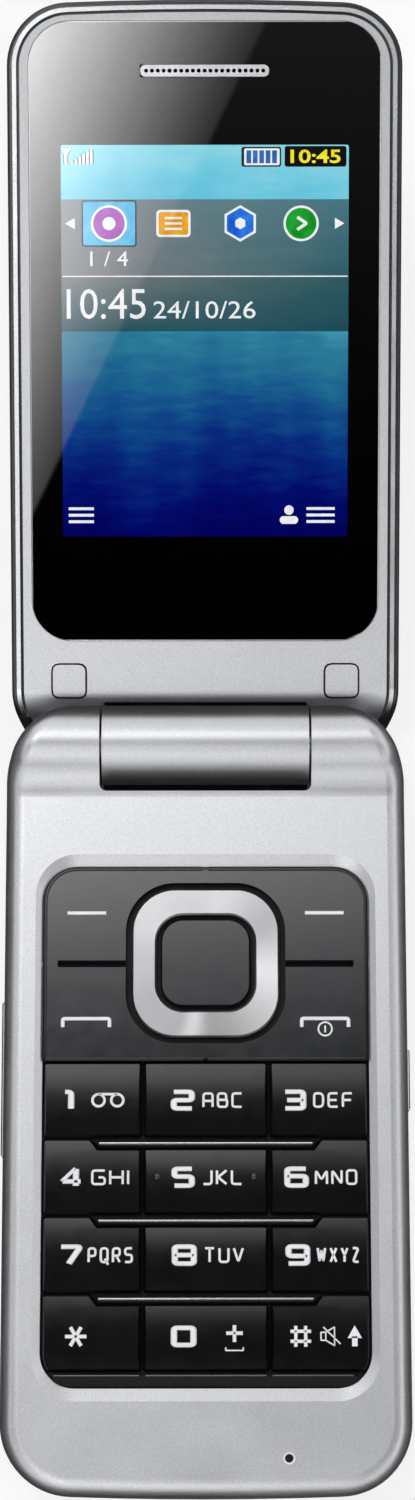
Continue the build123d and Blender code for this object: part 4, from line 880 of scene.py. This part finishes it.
def backdrop_finish():
    """The lit picture: pale blue above and deep blue below, with soft slanting bands and fine ripples."""
    material, tree, shader = glowing("lit_backdrop")
    place = lid_surface_place(tree)
    height = between(tree, part_of(tree, place, "Y"), display_low_v * MM, display_high_v * MM)
    slanted = node(tree, "Mapping", {
        "Vector": place, "Rotation": (0, 0, radians(24)), "Scale": (1, 0.25, 1),
    }).outputs["Vector"]
    bands = between(tree, grain(tree, slanted, 9.0), 0.3, 0.7, -0.05, 0.05)
    ripples = between(tree, grain(tree, place, 1.1, 3.0, (0.25, 1, 1)), 0.3, 0.7, -0.035, 0.035)
    shade = tint(tree, sum_of(tree, height, sum_of(tree, bands, ripples)), [
        (0.0, "02025c"), (0.10, "020d6e"), (0.20, "062980"), (0.30, "0e498c"), (0.40, "1d6895"),
        (0.50, "2c7f9d"), (0.62, "4aa3bf"), (0.86, "6ccbe5"), (1.0, "8edbea"),
    ])
    tree.links.new(shade, shader.inputs["Emission Color"])
    return material


white_light = lit_finish("lit_white", "e9eef1", "ffffff")
dark_edge = lit_finish("lit_dark_edge", "12242e", "1a3038")


def lit_layer(depth):
    """Height of a layer over the display panel."""
    return panel_top + layer * depth


def lit(piece, material):
    """Puts a lit piece of the display in its place on the lid."""
    settle(piece, "lid", material, lid_place)


def lit_plate(name, x0, x1, v0, v1, depth, material, corner=0.0):
    """A flat lit shape on the display."""
    lit(plate(name, x0, x1, v0, v1, lit_layer(depth), lit_layer(depth + layer_share), corner), material)


def lit_lines(name, lines, stroke, depth, material=white_light):
    """Lit line work on the display."""
    lit(line_work(name, lines, stroke, lit_layer(depth), ease=0.15), material)


def lit_disc(name, x, v, radius, depth, material=white_light, sides=32, turn=0.0):
    """A round lit shape on the display, or one with few sides, turned if asked."""
    piece = disc(name, x, v, radius, lit_layer(depth), lit_layer(depth + layer_share), sides)
    piece.rotation_euler.z = turn
    lit(piece, material)


def lit_strip(name, low_v, high_v, low_shades, high_shades):
    """A see-through strip across the lit picture: three shades along its foot and three along its top."""
    material, tree, shader = glowing("lit_" + name)
    place = lid_surface_place(tree)
    ripples = between(tree, grain(tree, place, 1.6, 3.0, (0.3, 1, 1)), 0.3, 0.7, -0.07, 0.07)
    across = between(tree, part_of(tree, place, "X"), -display_half * MM, display_half * MM)
    share = sum_of(tree, across, ripples)
    low_shade, high_shade = [
        tint(tree, share, list(zip((0.15, 0.6, 1.0), shades))) for shades in (low_shades, high_shades)
    ]
    height = between(tree, part_of(tree, place, "Y"), low_v * MM, high_v * MM)
    mixed = node(tree, "MixRGB", {"Fac": height, "Color1": low_shade, "Color2": high_shade})
    tree.links.new(mixed.outputs["Color"], shader.inputs["Emission Color"])
    lit_plate(name, -display_half, display_half, low_v, high_v, 1, material)


def lit_figures(name, text, x0, x1, v0, v1, depth, material=white_light, bold=0.0):
    """Lit figures that fill a box on the display."""
    start_piece()
    bpy.ops.object.text_add()
    piece = bpy.context.object
    piece.name = name
    piece.data.body = text
    piece.data.offset = bold
    piece.data.resolution_u = 3
    bpy.ops.object.convert(target="MESH")
    low = [min(vertex.co[axis] for vertex in piece.data.vertices) for axis in (0, 1)]
    high = [max(vertex.co[axis] for vertex in piece.data.vertices) for axis in (0, 1)]
    wide = (x1 - x0) * MM / (high[0] - low[0])
    tall = (v1 - v0) * MM / (high[1] - low[1])
    piece.scale = (wide, tall, 1)
    piece.location = (x0 * MM - low[0] * wide, v0 * MM - low[1] * tall, lit_layer(depth) * MM)
    bpy.ops.object.transform_apply()
    thicken(piece, layer * layer_share)
    lit(piece, material)


def status_bar():
    """Signal bars, battery and a clock badge along the top of the display."""
    bars = []
    for index in range(6):
        left = -17.2 + index * 0.5
        bars.append([(left, status_foot_v), (left, 75.7 + 0.33 * index)])
    mast = [[(-18.0, status_foot_v), (-18.0, 77.4)], [(-18.5, 77.45), (-18.0, 76.7), (-17.5, 77.45)]]
    lit_lines("signal_edge", bars + mast, 0.62, 2, dark_edge)
    lit_lines("signal_bars", bars + mast, 0.34, 4)
    lit_plate("battery_edge", 4.75, 9.9, 75.1, 77.65, 2, dark_edge, 0.3)
    lit_plate("battery_body", 5.1, 9.7, 75.3, 77.45, 3, white_light, 0.2)
    cell = lit_finish("lit_cell_blue", "24559c", "3a78c4")
    for index in range(5):
        left = 5.4 + index * 0.83
        lit_plate("battery_cell_%d" % (index + 1), left, left + 0.62, 75.55, 77.2, 4, cell)
    badge = lit_finish("lit_badge_black", "030303", "080808")
    lit_plate("clock_badge", 10.35, 18.35, 75.1, 77.75, 3, badge, 0.3)
    yellow = lit_finish("lit_yellow", "f2e012", "fff23a")
    lit_figures("clock_figures", "10:45", 11.1, 17.6, 75.55, 77.3, 5, yellow, bold=0.02)


def menu_strip():
    """The strip with a chosen tile, four plain pictograms and a page number."""
    lit_strip(
        "menu_strip", menu_low_v, menu_high_v,
        ("84858a", "547176", "315f6a"), ("7f868c", "5d8088", "487884"),
    )
    lit_plate("tile_edge", -16.0, -8.85, 64.85, 70.85, 3, dark_edge, 0.35)
    tile_blue = lit_finish("lit_tile_blue", "49b4e6", "6fcdf4")
    lit_plate("tile_face", -15.8, -9.05, 65.05, 70.65, 4, tile_blue, 0.25)
    v = pictogram_v
    purple = lit_finish("lit_purple", "9a3fae", "b95ccb")
    lit_disc("pictogram_1_edge", -12.45, v, 2.35, 5)
    lit_disc("pictogram_1", -12.45, v, 2.05, 6, purple)
    lit_disc("pictogram_1_middle", -12.45, v, 0.85, 7)
    amber = lit_finish("lit_amber", "e08a12", "f6b62c")
    lit_plate("pictogram_2_edge", -6.3, -1.85, v - 1.75, v + 1.75, 5, white_light, 0.5)
    lit_plate("pictogram_2", -6.0, -2.15, v - 1.45, v + 1.45, 6, amber, 0.3)
    bars = [[(-5.2, v + step), (-2.95, v + step)] for step in (-0.7, 0, 0.7)]
    lit_lines("pictogram_2_bars", bars, 0.28, 7)
    blue = lit_finish("lit_blue", "1258cf", "2f86ee")
    lit_disc("pictogram_3_edge", 4.6, v, 2.35, 5, sides=6)
    lit_disc("pictogram_3", 4.6, v, 2.0, 6, blue, sides=6)
    lit_disc("pictogram_3_middle", 4.6, v, 0.75, 7, sides=6)
    green = lit_finish("lit_green", "0b8a1e", "1fae35")
    lit_disc("pictogram_4_edge", 12.5, v, 2.3, 5)
    lit_disc("pictogram_4", 12.5, v, 2.0, 6, green)
    lit_lines("pictogram_4_sign", [[(12.0, v - 0.8), (13.2, v), (12.0, v + 0.8)]], 0.4, 7)
    for name, side in (("left", -1), ("right", 1)):
        lit_disc("page_arrow_" + name, side * 17.3, v, 0.82, 4, sides=3, turn=-side * pi / 2)
    lit_figures("page_number", "1 / 4", -14.9, -10.0, 62.35, 64.3, 3)
    line = [(-display_half + 0.1, strip_line_v), (display_half - 0.1, strip_line_v)]
    lit_lines("strip_line", [line], 0.16, 3)


def clock_strip():
    """The strip with the large clock and the date in figures."""
    lit_strip(
        "clock_strip", clock_low_v, clock_high_v,
        ("1f5560", "235461", "1a4a59"), ("757c80", "49686b", "2c5b64"),
    )
    lit_figures("large_clock", "10:45", -18.0, -7.7, 55.55, 59.45, 3)
    lit_figures("date_figures", "24/10/26", -6.7, 6.6, 55.6, 57.85, 3)


def soft_labels():
    """Plain signs over the two soft keys: a list, and a person beside a list."""
    v = soft_label_v
    for name, x0, x1 in (("list_sign", -17.9, -14.6), ("names_list", 13.3, 17.0)):
        bars = [[(x0, v + step), (x1, v + step)] for step in (-0.85, 0, 0.85)]
        lit_lines(name, bars, 0.36, 3)
    lit_disc("person_head", 11.0, v + 0.65, 0.62, 3, sides=24)
    lit_plate("person_shoulders", 9.8, 12.2, v - 1.15, v - 0.15, 3, white_light, 0.48)


def display_picture():
    """The lit backdrop on the panel."""
    half = display_half + backdrop_overlap
    low_v, high_v = display_low_v - backdrop_overlap, display_high_v + backdrop_overlap
    lit_plate("backdrop", -half, half, low_v, high_v, 0, backdrop_finish())


def window_print():
    """Black print on the back of the window, open over the display."""
    low, high = on_lid_box("display_window")
    z = low[2] - 2 * print_gap
    x0, x1 = low[0] + print_edge, high[0] - print_edge
    v0, v1 = low[1] + print_edge, high[1] - print_edge
    outer = flat_outline("outer", x0, x1, v0, v1, z, print_corner)
    inner = flat_outline("inner", -display_half, display_half, display_low_v, display_high_v, z, 0.3)
    piece = joined("window_print", [outer, inner])
    only(piece)
    bpy.ops.object.mode_set(mode="EDIT")
    bpy.ops.mesh.select_all(action="SELECT")
    bpy.ops.mesh.delete(type="ONLY_FACE")
    bpy.ops.mesh.select_all(action="SELECT")
    bpy.ops.mesh.bridge_edge_loops()
    bpy.ops.mesh.select_all(action="SELECT")
    bpy.ops.mesh.normals_make_consistent(inside=False)
    bpy.ops.object.mode_set(mode="OBJECT")
    thicken(piece, print_gap)
    black = grained_finish(
        "black_print", "010102", "040406", 0.4, (0.8, 0.9), 0.001, {"Specular IOR Level": 0.0},
    )
    settle(piece, "lid", black, lid_place)


display_picture()
status_bar()
menu_strip()
clock_strip()
soft_labels()
window_print()


# ---- camera
def make_camera():
    """Looks down on the opened phone, a little from the chin's side."""
    camera_data = bpy.data.cameras.new("camera")
    camera = bpy.data.objects.new("camera", camera_data)
    scene.collection.objects.link(camera)
    camera_data.sensor_width = sensor_long_side
    camera_data.lens = focal_pixels / picture_long_side * sensor_long_side
    back = Vector((
        sin(camera_azimuth) * cos(camera_elevation), -cos(camera_azimuth) * cos(camera_elevation),
        sin(camera_elevation),
    ))
    camera.location = camera_target + back * camera_distance
    camera.rotation_mode = "QUATERNION"
    camera.rotation_quaternion = (-back).to_track_quat("-Z", "Y")
    camera_data.clip_start = near_clip
    camera_data.clip_end = far_clip
    scene.camera = camera


# ---- stage and light
def shown_background(tree):
    """1 for a ray that shows the background: from the camera, a reflection or through glass."""
    path = tree.nodes.new("ShaderNodeLightPath")
    some = sum_of(tree, path.outputs["Is Camera Ray"], path.outputs["Is Glossy Ray"], "MAXIMUM")
    return sum_of(tree, some, path.outputs["Is Transmission Ray"], "MAXIMUM")


def make_world():
    """Soft grey light from all round, white where it is seen."""
    world = bpy.data.worlds.new("studio")
    scene.world = world
    world.use_nodes = True
    tree = world.node_tree
    background = tree.nodes["Background"]
    background.inputs["Color"].default_value = (1, 1, 1, 1)
    strength = between(tree, shown_background(tree), 0, 1, world_strength, 1.0)
    tree.links.new(strength, background.inputs["Strength"])


def make_floor():
    """Pale floor that is white to the eye and keeps a light shadow."""
    start_piece()
    bpy.ops.mesh.primitive_plane_add(size=floor_size, location=(0, 0, -floor_drop))
    floor = bpy.context.object
    floor.name = "floor"
    material, tree, shader = finish("pale_floor", {"Base Color": (0.9, 0.9, 0.9, 1), "Roughness": 0.9})
    glow = node(tree, "Emission", {"Color": (1, 1, 1, 1), "Strength": 1.0})
    share = times(tree, shown_background(tree), floor_glow)
    mixed = node(tree, "MixShader", {0: share, 1: shader.outputs["BSDF"], 2: glow.outputs["Emission"]})
    tree.links.new(mixed.outputs["Shader"], tree.nodes["Material Output"].inputs["Surface"])
    floor.data.materials.append(material)


def soft_lamp(name, place, aim, size, power):
    """A large soft lamp."""
    lamp_data = bpy.data.lights.new(name, "AREA")
    lamp_data.shape = "RECTANGLE"
    lamp_data.size, lamp_data.size_y = size
    lamp_data.energy = power
    lamp = bpy.data.objects.new(name, lamp_data)
    scene.collection.objects.link(lamp)
    lamp.location = place
    lamp.rotation_mode = "QUATERNION"
    lamp.rotation_quaternion = (Vector(aim) - Vector(place)).to_track_quat("-Z", "Y")
    lamp.visible_camera = False
    lamp.visible_glossy = False
    lamp.visible_transmission = False


def glossy_only(card, name, paint, strength, one_sided=False):
    """Makes a card glow, on its front alone if asked, and lets only reflections show it."""
    card.name = name
    material = bpy.data.materials.new(name + "_face")
    material.use_nodes = True
    tree = material.node_tree
    tree.nodes.remove(tree.nodes["Principled BSDF"])
    face = node(tree, "Emission", {"Color": paint(tree), "Strength": strength}).outputs["Emission"]
    if one_sided:
        back = node(tree, "NewGeometry", {}).outputs["Backfacing"]
        clear = node(tree, "BsdfTransparent", {}).outputs["BSDF"]
        face = node(tree, "MixShader", {0: back, 1: face, 2: clear}).outputs["Shader"]
    tree.links.new(face, tree.nodes["Material Output"].inputs["Surface"])
    card.data.materials.append(material)
    card.visible_camera = False
    card.visible_diffuse = False
    card.visible_volume_scatter = False
    card.visible_shadow = False


def glossy_card(name, place, size, paint, strength, turned=(0, 0, 0), one_sided=False):
    """A flat card that only reflections show. It lies level unless it is turned."""
    start_piece()
    bpy.ops.mesh.primitive_plane_add(size=1, location=place, rotation=turned)
    card = bpy.context.object
    card.scale = (*size, 1)
    bpy.ops.object.transform_apply()
    glossy_only(card, name, paint, strength, one_sided)


def ceiling_paint(tree):
    """A wide softbox: a dim band right overhead, brighter to the far side and to the left."""
    place = surface_place(tree)
    along = between(tree, part_of(tree, place, "Y"), -ceiling_half, ceiling_half)
    shade = tint(tree, along, [
        (0.0, "c8c8c8"), (0.25, "b8b8b8"), (0.33, "b0b0b0"), (0.39, "c8c8c8"), (0.43, "181818"),
        (0.563, "181818"), (0.581, "707070"), (0.597, "ffffff"), (0.69, "ffffff"), (0.8, "a8a8a8"),
        (1.0, "a0a0a0"),
    ])
    side = tint(tree, between(tree, part_of(tree, place, "X"), -ceiling_half, ceiling_half), [
        (0.0, "848484"), (0.242, "8c8c8c"), (0.387, "ffffff"), (0.613, "484848"), (0.774, "9c9c9c"),
        (1.0, "848484"),
    ])
    return node(tree, "VectorMath", {0: shade, 1: side}, operation="MULTIPLY").outputs["Vector"]


def window_gloss_paint(tree):
    """What the polished window mirrors: a light that fades to the right, cut off along a slanting edge."""
    place = surface_place(tree)
    x = part_of(tree, place, "X")
    y = part_of(tree, place, "Y")
    across = times(tree, x, gloss_fade_x)
    upwards = times(tree, y, gloss_fade_y)
    fade = sum_of(tree, sum_of(tree, across, upwards), gloss_fade_start)
    slanted = sum_of(tree, x, times(tree, y, gloss_edge_slope))
    lit_side = between(tree, slanted, gloss_edge_dark, gloss_edge_lit)
    dark = between(tree, y, gloss_dim_from_y, gloss_dim_to_y, 0.0, gloss_dim_level)
    level = between(tree, lit_side, 0, 1, dark, between(tree, fade, 0, 1))
    return sum_of(tree, level, gloss_contrast, "POWER")


def dark_ground_paint(tree):
    """Near black, a little lighter to the right."""
    return tint(tree, between(tree, part_of(tree, surface_place(tree), "X"), -0.25, 0.25), [
        (0.0, "0c0c0c"), (0.45, "101010"), (0.6, "2c2c2c"), (1.0, "3a3a3a"),
    ])


def standing_flag(name, place, turn, size, stops, strength=1.0):
    """A card that stands beside the stage and fades upwards."""
    def paint(tree):
        return tint(tree, between(tree, part_of(tree, surface_place(tree), "Z"), 0, size[1]), stops)
    glossy_card(name, place, size, paint, strength, (pi / 2, 0, turn))


def hinge_flag(name, half, y, z0, z1, turn):
    """A small black card beside the barrel that shows only from the barrel's side."""
    place = (0, y * MM, (z0 + z1) / 2 * MM)
    size = (2 * half * MM, (z1 - z0) * MM)
    glossy_card(name, place, size, lambda tree: hinge_flag_shade, 1.0, (pi / 2, 0, turn), True)


def horizon_flag():
    """A low dark ring round the stage that only reflections show."""
    start_piece()
    bpy.ops.mesh.primitive_cylinder_add(
        vertices=48, radius=horizon_radius, depth=horizon_height, end_fill_type="NOTHING",
        location=(0, 0, horizon_height / 2),
    )
    glossy_only(bpy.context.object, "horizon_flag", lambda tree: horizon_shade, 1.0)


make_camera()
make_world()
make_floor()
soft_lamp("key_lamp", place=(-0.6, 0.55, 1.1), aim=(0, 0.03, 0), size=(0.7, 0.7), power=7)
soft_lamp("fill_lamp", place=(0.7, -0.4, 1.0), aim=(0, 0.03, 0), size=(0.6, 0.6), power=3)
glossy_card(
    "ceiling", place=(0, 0, ceiling_height), size=(2 * ceiling_half, 2 * ceiling_half),
    paint=ceiling_paint, strength=ceiling_strength,
)
glossy_card(
    "window_gloss", place=(0.03, -1.12, 3.0), size=(0.46, 0.9), paint=window_gloss_paint, strength=12.0,
)
glossy_card(
    "dark_ground", place=(0, 0.045, -0.0001), size=(0.5, 0.6), paint=dark_ground_paint, strength=1.0,
)
horizon_flag()
standing_flag(
    "south_flag", place=(0, -1.25, 0.3), turn=0, size=(2.4, 0.6),
    stops=[(0.0, "040404"), (0.35, "0c0c0c"), (0.8, "e4e4e4"), (1.0, "f4f4f4")],
)
standing_flag(
    "left_flag", place=(-1.25, 0.2, 0.35), turn=pi / 2, size=(2.4, 0.7),
    stops=[(0.0, "060606"), (0.75, "0c0c0c"), (1.0, "d0d0d0")],
)
standing_flag(
    "right_flag", place=(1.25, 0.2, 0.6), turn=pi / 2, size=(2.4, 1.2),
    stops=[(0.0, "202020"), (0.4, "303030"), (0.55, "ffffff"), (1.0, "ffffff")], strength=1.35,
)
hinge_flag("valley_flag", half=26.0, y=51.9, z0=5.5, z1=12.3, turn=0)
hinge_flag("recess_flag", half=13.2, y=39.75, z0=5.5, z1=10.0, turn=pi)

scene.view_settings.view_transform = "Standard"
